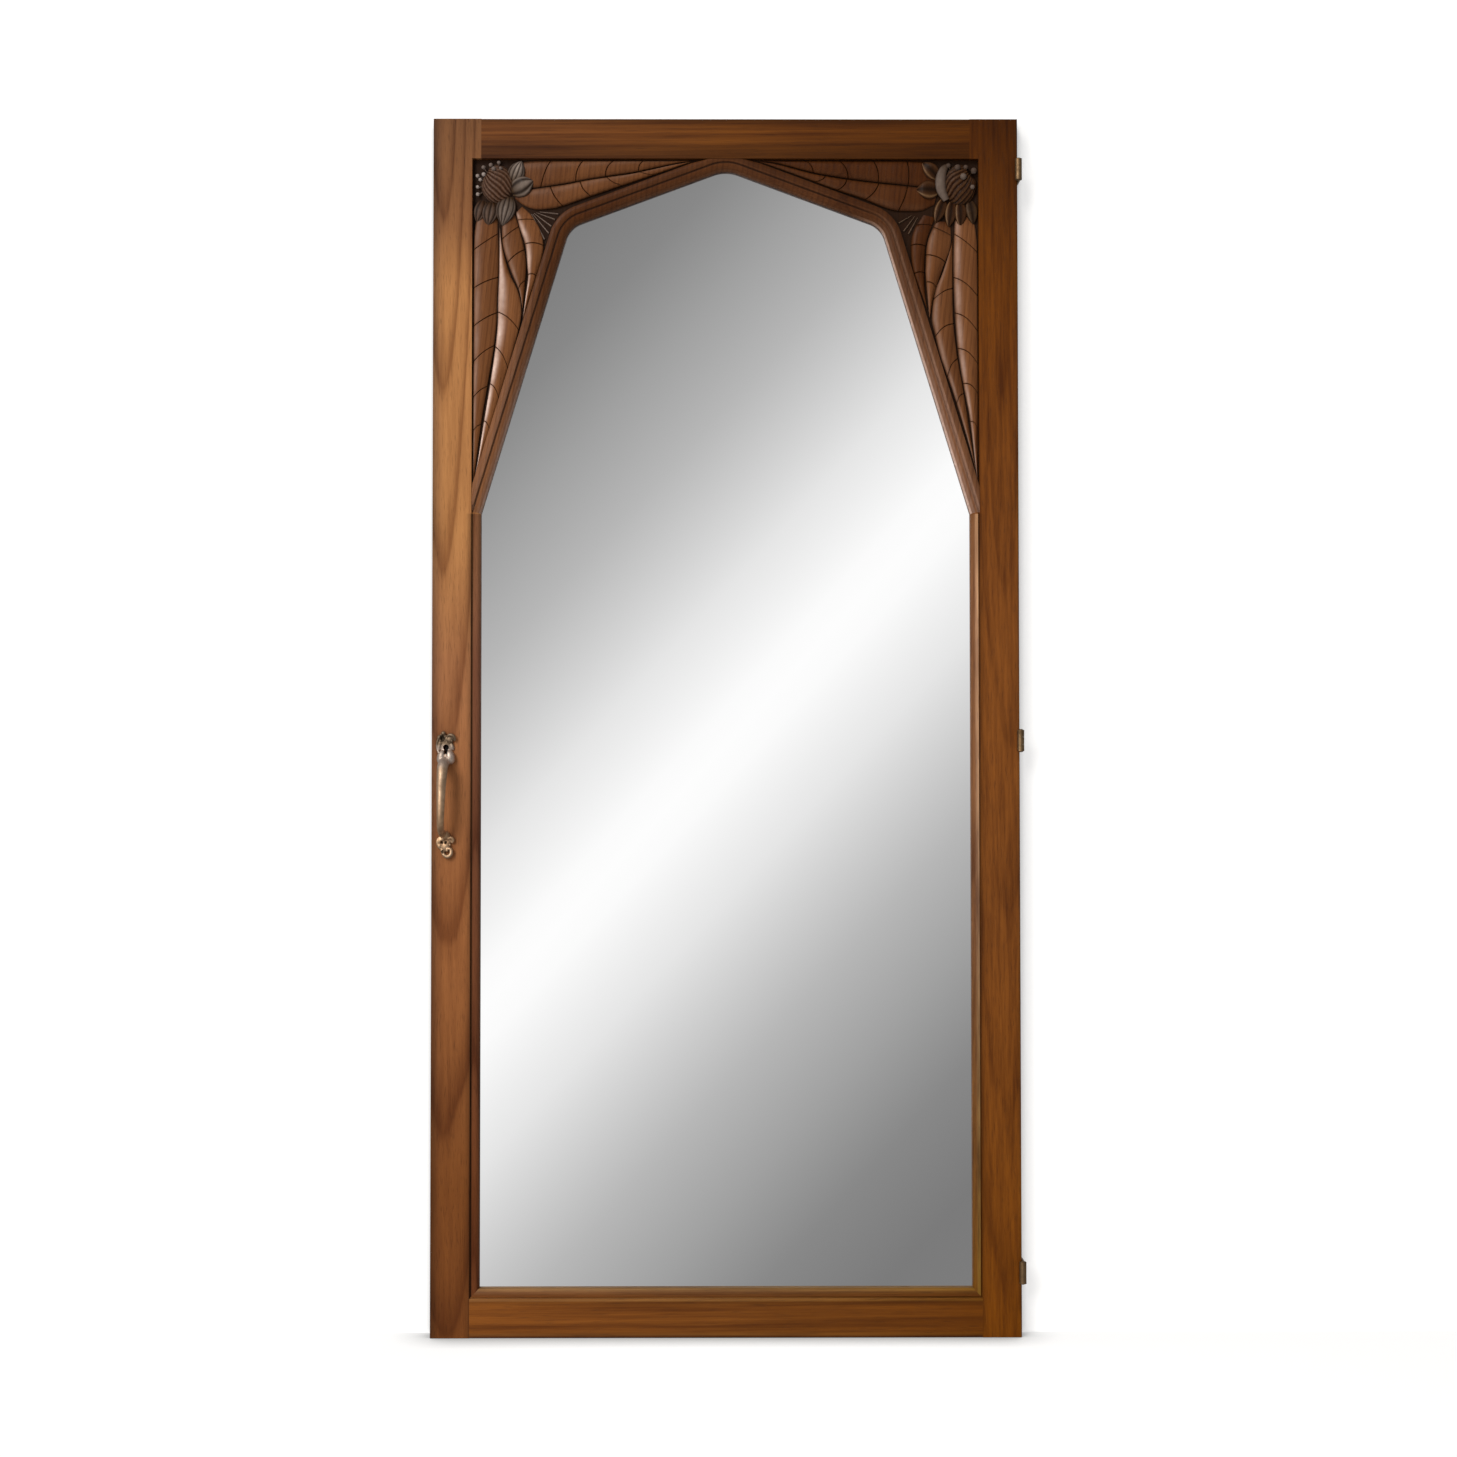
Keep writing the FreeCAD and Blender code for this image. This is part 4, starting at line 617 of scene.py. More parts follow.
class Carving:
    """Shells of carved wood with four marks on each point: painted shade in cuts and gaps, a painted highlight, dust,
    and painted shade in the dark.
    """

    def __init__(self):
        self.points, self.faces, self.marks = [], [], []

    def add(self, points, faces, cut=0.0, rub=0.0, dust=0.0, deep=0.0):
        start = sum(len(block) for block in self.points)
        self.points.append(np.asarray(points, float))
        self.faces += [tuple(start + i for i in face) for face in faces]
        marks = [np.broadcast_to(values, len(points)) for values in (cut, rub, dust, deep)]
        self.marks.append(np.stack(marks, axis=1))

    def sheet(self, grid, cut, rub, dust, deep):
        """A closed shell: a grid of points on top, skirts down into the ground and a flat underside."""
        index = numbered(*grid.shape[:2])
        faces = quads(index)
        rim = around(index)
        flat = grid.reshape(-1, 3)
        under = flat[rim].copy()
        under[:, 2] = FOOTING
        first, count = index.size, len(rim)
        for i in range(count):
            j = (i + 1) % count
            faces.append((rim[j], rim[i], first + i, first + j))
        faces.append(tuple(first + i for i in range(count)))
        deep = np.broadcast_to(deep, index.shape)
        # Skirts get full painted shade and no painted highlight
        cut, rub, deep = (
            np.concatenate([np.ravel(values), np.full(count, skirt)])
            for values, skirt in ((cut, 1.0), (rub, 0.0), (deep, deep.max()))
        )
        self.add(np.vstack([flat, under]), faces, cut, rub, dust, deep)

    def mesh(self, name, side, ground):
        """The mesh in the door's frame; side is -1 on the left and 1 on the right."""
        across, down, up = np.vstack(self.points).T
        clear = 0.05
        across = side * (STILE_EDGE - np.maximum(across, clear))
        spots = np.stack([across, ground - up, RAIL_UNDER - np.maximum(down, clear)], axis=1)
        mesh = bpy.data.meshes.new(name)
        mesh.from_pydata((spots * MM).tolist(), [], self.faces)
        for label, values in zip(MARKS, np.vstack(self.marks).T):
            mark(mesh, label, np.clip(values, 0, 1))
        return mesh


EDGE_SAMPLES = 400
VEIN_CUT = ((-0.5, 0.55), (0.0, 1.0), (0.5, 0.55))  # places across a vein and how deep it is cut there
FULL_WIDTH = 22.0  # a narrower leaf is lower
SWELL = 0.45  # rise between two veins
FLUTE_DEPTH = 0.8
ROOT_RISE = 60.0  # a leaf comes up from its root over this length
ROOT_SHADE = 9.0
DARK_RIM = 0.07  # share of the width with painted shade along an edge


def leaf(
    carving, sizes, near, far, shine, rubbed, deep, veins=(), ridge=0.5, crown=1.0, edge=1.0, flutes=0, dust=0.0,
    gap=0.3, step=3.2, root=1.0, rims=(0.0, 0.0), spread=0.13, bow=0.012,
):
    """A leaf between two edges from root to tip, arched across, with veins cut where (near, far) shares say."""
    near_line, near_length = spline(near, EDGE_SAMPLES)
    far_line, far_length = spline(far, EDGE_SAMPLES)
    length = (near_length + far_length) / 2
    half = sizes.vein_width / MM / 2 / length
    knots = [(0.0, 0.0), *veins, (1.0, 1.0)]
    rows = []
    for count, (start, end) in enumerate(zip(knots, knots[1:])):
        at_tip = count == len(veins)
        first = np.array(start) + (half if count else 0.0)
        last = np.array(end) - (0.0 if at_tip else half)
        parts = max(3, int(np.mean(last - first) * length / step))
        for share in np.linspace(0, 1, parts + 1):
            rows.append((*(first + (last - first) * share), 0.0, math.sin(math.pi * share)))
        if not at_tip:
            rows += [(*(np.array(end) + shift * half), cut, 0.0) for shift, cut in VEIN_CUT]
    near_share, far_share, cut, puff = np.array(rows).T[:, :, None]

    even = np.linspace(0, 1, 15 + 6 * flutes)
    t = 0.6 * (0.5 - 0.5 * np.cos(np.pi * even)) + 0.4 * even
    along = near_share * (1 - t) + far_share * t
    along = np.clip(along - bow * np.sin(np.pi * t) * np.sin(np.pi * along), 0, 1)
    spots = np.linspace(0, 1, EDGE_SAMPLES)
    near_at, far_at = (
        np.stack([np.interp(along, spots, line[:, k]) for k in (0, 1)], axis=2) for line in (near_line, far_line)
    )
    across = far_at - near_at
    wide = np.maximum(np.linalg.norm(across, axis=2, keepdims=True), 1e-6)
    inset = np.minimum(gap, 0.35 * wide) / wide
    plan = near_at + across * (inset + (1 - 2 * inset) * t[None, :, None])

    arch = 1 - np.abs(2 * t ** (math.log(0.5) / math.log(ridge)) - 1) ** 3
    groove = 0.5 - 0.5 * np.cos(2 * np.pi * flutes * t)
    low, high = sizes.leaf_edge / MM * edge, sizes.leaf_crown / MM * crown
    height = low + (high - low) * arch + SWELL * puff * arch - FLUTE_DEPTH * groove - cut * sizes.vein_depth / MM
    height = height * np.clip(wide[:, :, 0] / FULL_WIDTH, 0.05, 1.0) ** 0.45
    height = height * (root + (1 - root) * np.clip(along * length / min(ROOT_RISE, length / 2), 0, 1))

    # Painted shade along the rims, in veins and flutes and at the root; a painted highlight where across the leaf the
    # light falls, stronger towards the tip, plus lit rims
    rim = np.clip(1 - np.minimum(t, 1 - t) / DARK_RIM, 0, 1)
    dark = np.maximum(np.maximum(cut, 0.75 * rim), groove**2)
    rub = rubbed * np.exp(-(((t - shine) / spread) ** 2)) * (1 - cut) * (0.5 + 0.5 * puff) * (0.6 + 0.7 * along)
    for amount, inward in zip(rims, (t, 1 - t)):
        rub = rub + amount * np.exp(-(((inward - 0.13) / 0.06) ** 2))
    shade = np.clip(deep + 0.55 * np.exp(-along * length / ROOT_SHADE), 0, 1)
    carving.sheet(np.dstack([plan, height]), dark, rub, dust, shade)


# Outline of a petal: share of its length and of its width
PETAL = ((0.0, 0.50), (0.18, 0.84), (0.42, 1.0), (0.66, 0.84), (0.86, 0.46), (1.0, 0.05))


def petal(carving, sizes, root, tip, width, flutes, crown, dust, painted_sheen, rims, deep):
    """A broad petal from under the seed head out to its tip."""
    root, tip = np.array(root, float), np.array(tip, float)
    side = np.array([root[1] - tip[1], tip[0] - root[0]]) / np.linalg.norm(tip - root) * width / 2
    edges = [[root + (tip - root) * along + side * sign * share for along, share in PETAL] for sign in (-1, 1)]
    # The petal's painted highlight is set by its sheen value and by its lit rims
    leaf(
        carving, sizes, *edges, shine=0.5, rubbed=painted_sheen, deep=deep, flutes=flutes, crown=crown, edge=1.9, dust=dust,
        gap=0.2, step=1.5, spread=0.4, root=0.45, rims=rims,
    )


# Seed head: its mesh, and how deep ribs, twill and cup are cut, as shares of its radius
BUD_RINGS, BUD_SEGMENTS = 44, 200
RIB_DEPTH, TWILL_DEPTH, CUP_DEPTH = 0.085, 0.02, 0.16
CUP_ANGLE, CUP_SOFTNESS = 0.35, 0.05
# Strength of the painted highlight on the ribs, and of the grey dust
BUD_HIGHLIGHT, BUD_DUST = 0.22, 0.45


def bud(carving, middle, radii, aim, ribs, cuts, deep):
    """A ribbed seed head that leans towards aim, with an open cup at its tip."""
    axis = np.array(aim) / np.linalg.norm(aim)
    first = np.cross(axis, (0.0, 0.0, 1.0))
    first /= np.linalg.norm(first)
    second = np.cross(axis, first)
    polar = np.linspace(0.02, 0.98, BUD_RINGS)[:, None] * np.pi
    turn = np.linspace(0, 2 * np.pi, BUD_SEGMENTS, endpoint=False)[None, :]
    rib = np.abs(np.cos(turn * ribs / 2 + 0.35 * np.sin(polar * 5)))
    twill = np.abs(np.sin(polar * 13 + turn * 4))
    cup = 1 / (1 + np.exp((polar - CUP_ANGLE) / CUP_SOFTNESS))
    swell = 1 - RIB_DEPTH * (1 - rib) ** 2 - TWILL_DEPTH * twill * np.sin(polar) - CUP_DEPTH * cup
    parts = (np.cos(polar), np.sin(polar) * np.cos(turn), np.sin(polar) * np.sin(turn))
    spots = sum(way * (part * swell)[:, :, None] for way, part in zip((axis, first, second), parts))
    spots = spots * np.array(radii) + np.array([*middle, 0.0])
    spots[:, :, 2] = np.maximum(spots[:, :, 2], FOOTING)
    index = numbered(BUD_RINGS, BUD_SEGMENTS)
    faces = quads(np.hstack([index, index[:, :1]]))
    faces += [tuple(index[0, ::-1]), tuple(index[-1])]
    # Painted shade round the foot of the head, in the cup and between ribs and twill; a painted highlight on the rib
    # crests
    limb = np.clip(1 - spots[:, :, 2] / (0.55 * radii[2]), 0, 1)
    cut = np.clip(cuts * (1 - rib) ** 1.5 + 0.4 * (1 - twill) ** 3 + 0.8 * cup + 0.85 * limb, 0, 1)
    rub = np.clip(rib**4 * (1 - cup), 0, 1)
    carving.add(spots.reshape(-1, 3), faces, cut.ravel(), BUD_HIGHLIGHT * rub.ravel(), BUD_DUST, deep)


# Width of a ray, strength of its painted highlight along the middle, and its grey dust
RAY_WIDTH, RAY_HIGHLIGHT, RAY_DUST = 2.6, 0.5, 0.7
FAN_RISE = 3.2


def ray(carving, start, end, rise, deep):
    """A thin raised ray of the fan, or the stalk of a bead."""
    start, end = np.array(start, float), np.array(end, float)
    along = (end - start) / np.linalg.norm(end - start)
    side = np.array([-along[1], along[0]])
    t = np.linspace(-1, 1, 7)[None, :, None]
    k = np.linspace(0, 1, 9)[:, None, None]
    plan = start + (end - start) * k + side * RAY_WIDTH / 2 * (0.45 + 0.55 * k) * t
    height = rise * (1 - np.abs(t) ** 1.6) * (0.6 + 0.4 * k)
    grid = np.concatenate([plan, height], axis=2)
    rub = np.broadcast_to(1 - t[:, :, 0] ** 2, grid.shape[:2])
    carving.sheet(grid, np.zeros(grid.shape[:2]), RAY_HIGHLIGHT * rub, RAY_DUST, deep)


ON_HEAD = 0.95  # a bead nearer the middle than this share of the radius sits on the seed head
BEAD_LIFT = 0.8
STALK_ROOT = 0.72


def stamens(carving, middle, radii, beads, deep):
    """Stalks that carry the beads outside a seed head; returns every bead's place, on its stalk or on the head."""
    spots = []
    for across, down, stand in beads:
        off = np.array([across, down]) - middle
        share = np.linalg.norm(off / radii[:2])
        if share < ON_HEAD:
            stand = radii[2] * math.sqrt(1 - share**2) + BEAD_LIFT
        else:
            ray(carving, middle + off * STALK_ROOT / share, (across, down), stand, deep)
        spots.append((across, down, stand))
    return spots


# The visible glass edge on the left, measured like the carving: shoulder and apex before rounding
SIGHT_EDGE = STILE_EDGE - SIGHT
SHOULDER = np.array([STILE_EDGE - 225.5, 97.5])
APEX = np.array([STILE_EDGE, 13.5])
SHOULDER_RADIUS = 36.0
APEX_RADIUS = 50.0
MOULDING = 13.0


def sight_path(offset):
    """The edge of the visible glass moved outward, as points (across, down) from the knee to the middle line."""
    knee = np.array([SIGHT_EDGE, RAIL_UNDER - KNEE])
    lower = (SHOULDER - knee) / np.linalg.norm(SHOULDER - knee)
    upper = (APEX - SHOULDER) / np.linalg.norm(APEX - SHOULDER)
    low_side, high_side = (np.array([run[1], -run[0]]) for run in (lower, upper))
    if offset <= MOULDING:
        lean = math.atan2(lower[0], -lower[1])
        start = knee + np.array([-offset, -offset * math.tan(lean / 2)])
    else:
        start = knee + low_side * offset
        start = start + lower * (-start[0] / lower[0])
    corner = SHOULDER + (low_side + high_side) * offset / (1 + low_side @ high_side)
    turn = math.acos(np.clip(lower @ upper, -1, 1))
    radius = SHOULDER_RADIUS + offset
    centre = corner - lower * radius * math.tan(turn / 2) - low_side * radius
    first, last = (math.atan2(*side[::-1]) for side in (low_side, high_side))
    bend = [centre + radius * np.array([math.cos(a), math.sin(a)]) for a in np.linspace(first, last, 15)]
    slope = math.atan2(-upper[1], upper[0])
    head_radius = APEX_RADIUS + offset
    hub = APEX + np.array([0, (head_radius - offset) / math.cos(slope)])
    head = [hub - head_radius * np.array([math.sin(a), math.cos(a)]) for a in np.linspace(slope, 0, 9)]
    run = [start + (bend[0] - start) * k for k in np.linspace(0, 1, 13)[:-1]]
    reach = [bend[-1] + (head[0] - bend[-1]) * k for k in np.linspace(0, 1, 9)[1:-1]]
    return np.array([*run, *bend, *reach, *head])


# Section of the moulding: widths, and depths below the face
QUIRK_WIDTH, QUIRK_DEPTH = 2.4, 3.0
OVOLO_TOP, OVOLO_FALL = 1.2, 7.3
BEAD_FOOT, BEAD_RISE = 2.2, 1.6
EDGE_DEPTH = OVOLO_TOP + OVOLO_FALL
DIRT_AND_SHADE = 0.7
RUN_OUT = 60.0  # length over which the painted light and quirk darkening near the stile fade
LEAST_SHEEN = 0.05
# Painted light and grime on the moulding: painted sheen and how far from the stile it reaches, grime and painted shade
# left there in the quirk, painted shade on the far side of the bead, the share of the bead with a painted highlight,
# and how far the edge at the glass is lifted out of the painted shade
LEFT_LIGHT_AND_DIRT = {"painted_sheen": 0.10, "reach": 70.0, "dirt_and_shade": DIRT_AND_SHADE, "far_shade": 0.0, "rubbed": (0.045, 0.5), "lift": 0.0}
RIGHT_LIGHT_AND_DIRT = {"painted_sheen": 0.21, "reach": 125.0, "dirt_and_shade": 0.0, "far_shade": 0.22, "rubbed": (-0.25, 0.25), "lift": 0.6}
# Painted shade on the moulding at places across from the stile
MOULDING_SHADE = ((45, 62, 95, 160, 230), (0.22, 0.38, 0.80, 0.95, 0.84))


def moulding(carving, sizes, painted_sheen, reach, dirt_and_shade, far_shade, rubbed, lift):
    """The ovolo, quirk and bead that follow the edge of the glass, with painted shade, painted highlights and grime in
    the quirk.
    """
    ground, bead = sizes.field_depth / MM, sizes.border / MM
    outer = MOULDING + bead
    crest = MOULDING - QUIRK_WIDTH
    underside = LIP - 0.1
    profile = [(0.0, underside), (0.0, EDGE_DEPTH)]
    radius = (crest**2 + OVOLO_FALL**2) / (2 * OVOLO_FALL)
    for a in np.linspace(math.asin(crest / radius), 0, 9)[1:]:
        profile.append((crest - radius * math.sin(a), OVOLO_TOP + radius * (1 - math.cos(a))))
    profile += [(crest, QUIRK_DEPTH), (MOULDING, QUIRK_DEPTH), (MOULDING, BEAD_FOOT)]
    for k in np.linspace(0, 1, 11)[1:]:
        profile.append((MOULDING + bead * k, BEAD_FOOT - BEAD_RISE * math.sin(math.pi * k)))
    profile += [(outer, ground), (outer, underside)]
    paths = [sight_path(d) for d, _ in profile]
    grid = np.stack([np.insert(path, 2, ground - depth, axis=1) for path, (_, depth) in zip(paths, profile)], axis=1)
    index = numbered(*grid.shape[:2])
    faces = quads(np.hstack([index, index[:, :1]]))
    faces += [tuple(index[0]), tuple(index[-1, ::-1])]

    # Quirk darkened with grime and painted shade, painted shade on the bead's far side, painted highlights at the glass
    # edge and on part of the bead, all changing with distance from the stile
    first, last = (bead * share for share in rubbed)
    buried = EDGE_DEPTH + 0.1
    quirk = np.array([abs(d - MOULDING) < 2.6 and 2.1 < depth < buried for d, depth in profile])
    plain = np.array([DIRT_AND_SHADE if depth > buried else far_shade if d - MOULDING > last else 0.0 for d, depth in profile])
    run = np.clip(1 - (grid[:, :, 0] - reach) / RUN_OUT, 0, 1)
    dark = np.where(quirk, DIRT_AND_SHADE - (DIRT_AND_SHADE - dirt_and_shade) * run, plain)
    bright = [2.4 if d < 2.5 else 0.6 if d < 6 or first < d - MOULDING < last else 0.15 for d, _ in profile]
    rub = np.array(bright) * (1 - dark)
    deep = np.interp(grid[:, :, 0], *MOULDING_SHADE) * (1 - lift * run * (rub > 1))
    rub = (LEAST_SHEEN + painted_sheen * run) * rub
    carving.add(grid.reshape(-1, 3), faces, dark.ravel(), rub.ravel(), 0.0, deep.ravel())


def ground_board(carving, sizes):
    """The board under the carving, out to the bead, with its sunk field on top."""
    edge = sight_path(MOULDING + sizes.border / MM - 1.0)
    share = np.linspace(0, 1, len(edge))[:, None]
    foot, head = edge[0, 1], edge[-1, 0]
    outer = np.hstack([head * np.maximum(2 * share - 1, 0), foot * np.maximum(1 - 2 * share, 0)])
    rows = np.stack([outer + (edge - outer) * k for k in np.linspace(0, 1, 9)], axis=1)
    index = numbered(*rows.shape[:2])
    total = index.size
    faces = [face[::-1] for face in quads(index)] + quads(index + total)
    rim = around(index.T)
    for here, there in zip(rim, rim[1:] + rim[:1]):
        faces.append((here, there, total + there, total + here))
    plan = rows.reshape(-1, 2)
    points = [np.insert(plan, 2, height, axis=1) for height in (0.0, sizes.field_depth / MM - LIP)]
    # The whole ground is marked cut: near-black painted shade on the sunk field
    carving.add(np.vstack(points), faces, 1.0)


# Leaf edges from root to tip, (across from the stile, down from the rail), and veins as shares of both edges
# Each leaf also has the strength of its painted highlight and its painted shade (deep), and some their ridge, crown,
# bow and spread
LEFT_LEAVES = {
    "stile": {
        "near": [(8, 78), (2, 112), (1.5, 200), (1.5, 300), (1.5, 400), (1.5, 474)],
        "far": [(36, 80), (38.5, 150), (36, 205), (35, 244), (30, 284), (22, 331), (13, 387), (6, 442), (2.5, 476)],
        "veins": [(0.14, 0.07), (0.28, 0.23), (0.42, 0.36), (0.55, 0.48), (0.68, 0.63), (0.80, 0.77)],
        "rubbed": 0.25, "deep": 0.30, "ridge": 0.30, "bow": 0.004,
    },
    "long": {
        "near": [(39, 96), (38.5, 157), (36.5, 205), (36, 244), (31, 290), (24, 338), (16, 387), (9, 434), (5, 455)],
        "far": [
            (42, 126), (54, 166), (66, 192), (71, 217), (68, 244), (56, 290), (43, 333), (28, 387), (13, 434), (6, 456),
        ],
        "veins": [(0.35, 0.37), (0.49, 0.54), (0.64, 0.67), (0.79, 0.81)],
        "rubbed": 1.0, "deep": 0.06, "spread": 0.18, "ridge": 0.28,
    },
    "short": {
        "near": [(42, 84), (43, 124), (54, 160), (67, 191), (72, 216)],
        "far": [(60, 74), (73, 120), (78, 152), (76, 186), (73, 217)],
        "veins": [(0.24, 0.17), (0.50, 0.41), (0.80, 0.72)],
        "rubbed": 0.26, "deep": 0.45, "ridge": 0.4,
    },
    "inner": {
        "near": [(62, 78), (68, 101), (76, 126), (79, 157), (80, 174), (76, 205), (73, 230)],
        "far": [(72, 68), (83, 78), (91, 89), (99, 105), (103, 126), (101, 142), (95, 164), (85, 196), (74, 231)],
        "veins": [(0.07, 0.15), (0.31, 0.38), (0.60, 0.64)],
        "rubbed": 0.8, "deep": 0.12, "ridge": 0.32, "crown": 1.1,
    },
    "head_upper": {
        "near": [(62, 18), (70, 5), (90, 1.6), (130, 1.5), (200, 1.5), (270, 1.2), (312, 1.0)],
        "far": [
            (62, 36), (74, 42), (92, 41), (135, 35), (160, 30), (197, 24), (228, 19.5), (259, 13), (290, 6), (313, 2),
        ],
        "veins": [(0.23, 0.15), (0.41, 0.35), (0.58, 0.52), (0.75, 0.71)],
        "rubbed": 0.1, "deep": 0.50, "crown": 0.86,
    },
    "head_lower": {
        "near": [(58, 45), (92, 42), (135, 36), (160, 31), (197, 25), (228, 20.5), (259, 14), (290, 7), (314, 2.5)],
        "far": [
            (62, 58), (74, 67), (86, 72), (99, 73), (119, 71), (139, 65), (166, 55.5), (197, 45), (238, 31),
            (280, 16.5), (316, 3.5),
        ],
        "veins": [(0.21, 0.27), (0.38, 0.43), (0.53, 0.61), (0.72, 0.79)],
        "rubbed": 0.15, "deep": 0.45, "crown": 0.92, "ridge": 0.55,
    },
}
RIGHT_LEAVES = {
    "stile": {
        "near": [(8, 80), (2, 120), (1.5, 229), (1.5, 374), (1.5, 474)],
        "far": [(34, 80), (36.5, 150), (35, 217), (31, 273), (24, 321), (14, 374), (7, 432), (2.5, 476)],
        "veins": [(0.14, 0.07), (0.30, 0.23), (0.43, 0.36), (0.55, 0.49), (0.66, 0.62), (0.79, 0.76)],
        "rubbed": 0.42, "deep": 0.18, "ridge": 0.62,
    },
    "long": {
        "near": [(37, 112), (37.5, 181), (36.5, 234), (31.5, 282), (24, 326), (15, 382), (7, 434), (4.5, 452)],
        "far": [
            (39, 126), (52, 164), (63, 192), (68, 229), (64, 253), (55, 290), (38, 338), (19.5, 398), (8, 440),
            (5, 454),
        ],
        "veins": [(0.22, 0.24), (0.37, 0.40), (0.52, 0.58), (0.67, 0.70)],
        "rubbed": 0.30, "deep": 0.40, "ridge": 0.6,
    },
    "short": {
        "near": [(40, 90), (40, 125), (52.5, 161), (63.5, 195), (70, 229)],
        "far": [(62, 90), (74, 120), (77, 156), (76, 181), (71.5, 229)],
        "veins": [(0.14, 0.06), (0.42, 0.36), (0.69, 0.64)],
        "rubbed": 0.16, "deep": 0.46, "ridge": 0.6, "crown": 1.1,
    },
    "inner": {
        "near": [(62, 84), (75, 120), (78, 156), (77, 193), (74, 216)],
        "far": [(80, 80), (93, 101), (98, 122), (96, 157), (86, 188), (75, 217)],
        "veins": [(0.09, 0.12), (0.33, 0.34), (0.62, 0.63)],
        "rubbed": 0.08, "deep": 0.92, "ridge": 0.55,
    },
    "head_upper": {
        "near": LEFT_LEAVES["head_upper"]["near"],
        "far": [(62, 34), (72, 40), (84, 39), (115, 36), (146, 33), (193, 27), (239, 19), (290, 5.5), (314, 1.8)],
        "veins": [(0.19, 0.16), (0.38, 0.33), (0.57, 0.50), (0.76, 0.70)],
        "rubbed": 0.05, "deep": 0.95, "crown": 0.86,
    },
    "head_lower": {
        "near": [(58, 43), (84, 40), (115, 37), (146, 34), (193, 28), (239, 20), (290, 6.5), (315, 2.3)],
        "far": [
            (64, 66), (82, 74), (100, 75), (121, 74), (142, 67.5), (168, 57), (210, 43), (245, 29.5), (286, 14.5),
            (317, 3.5),
        ],
        "veins": [(0.17, 0.20), (0.33, 0.39), (0.51, 0.55), (0.63, 0.68)],
        "rubbed": 0.10, "deep": 0.88, "crown": 0.92,
    },
}
# Flowers: beads are (across, down, stand), petals (root, tip, width, flutes, crown, dust, painted sheen, lit edges),
# and rays of the fan (start, end); shine is where across a leaf the light falls, deep is painted shade, the last value
# is the strength of the beads' painted highlight, and a sepal is a smooth leaf that hugs the seed head
LEFT_FLOWER = {
    "middle": (35.5, 36), "radii": (24.5, 29.5, 12.5), "aim": (-0.78, -0.58, 0.22), "ribs": 24, "cuts": 0.6,
    "beads": [
        (7.6, 41.2, 6.5), (7.8, 51.6, 5.5), (16.3, 22.8, 7.5), (11.5, 31.0, 8.0), (7.4, 24.6, 5.0),
        (16.0, 12.6, 6.5), (26.8, 9.4, 7.5), (38.2, 6.0, 7.5), (31.0, 15.5, 9.0), (41.0, 14.5, 9.0),
    ],
    "petals": [
        ((57, 34), (71, 2), 25, 4, 1.30, 1.0, 0.65, (0.2, 0.4)),
        ((56, 47), (88, 31), 31, 2, 1.25, 1.0, 0.36, (0.3, 0.4)),
        ((52, 54), (43, 97), 29, 4, 1.30, 1.0, 0.36, (0.6, 0.1)),
        ((28, 62), (22, 97), 24, 3, 1.05, 0.8, 0.14, (0.2, 0.1)),
        ((15, 60), (6, 92), 18, 2, 0.95, 0.7, 0.10, (0.2, 0.1)),
    ],
    "sepals": [],
    "fan": [
        ((85, 79), (104, 116)), ((87, 79), (110, 107)), ((89, 78), (114, 97)), ((92, 77), (119, 87)),
        ((97, 76), (124, 79)),
    ],
    "deep": 0.58, "shine": 0.15, "bead_size": 1.1, "bead_highlight": 0.55,
}
RIGHT_FLOWER = {
    "middle": (26.5, 37), "radii": (25, 31, 13.0), "aim": (-0.70, -0.62, 0.35), "ribs": 22, "cuts": 1.0,
    "beads": [
        (30.6, 12.8, 0), (9.1, 41.5, 0), (22.7, 27.1, 0), (43.4, 9.6, 6.5), (6.7, 16.6, 5.5), (18.5, 12.0, 0),
    ],
    "petals": [
        ((58, 26), (81, 4), 22, 1, 1.15, 0.4, 0.14, (0.1, 0.7)),
        ((58, 44), (90, 44), 28, 1, 1.20, 0.4, 0.14, (0.1, 0.8)),
        ((50, 58), (62, 92), 18, 1, 1.15, 0.4, 0.12, (0.8, 0.1)),
        ((38, 62), (43, 98), 18, 1, 1.20, 0.4, 0.12, (0.8, 0.1)),
        ((26, 62), (26, 98), 18, 1, 1.15, 0.4, 0.12, (0.8, 0.1)),
        ((12, 60), (7, 94), 18, 1, 1.10, 0.9, 0.26, (0.2, 0.1)),
    ],
    "sepals": [
        {
            "near": [(42, 4), (54, 10), (61, 22), (63, 36), (60, 49), (51, 62)],
            "far": [(40, 9), (44, 15), (46.5, 24), (47, 36), (46, 46), (42, 57)],
            "crown": 1.25, "edge": 2.6, "dust": 1.0, "rubbed": 0.28, "spread": 0.5,
        },
    ],
    "fan": [((88, 84), (101, 108)), ((92, 82), (108, 104)), ((97, 81), (115, 92))],
    "deep": 0.94, "shine": 0.85, "bead_size": 1.6, "bead_highlight": 0.20,
}


# Dust greys the flowers; the cut tone and the deep tint are painted shade, and the two pale tones are painted
# highlights on bare and dusty wood
DUST_TONE, CUT_SHADE_TONE = (0.046, 0.035, 0.030), (0.008, 0.003, 0.001)
HIGHLIGHT_WOOD, HIGHLIGHT_DUST = (0.70, 0.53, 0.46), (0.68, 0.61, 0.58)
DEEP_SHADE_TINT = (0.26, 0.18, 0.09)


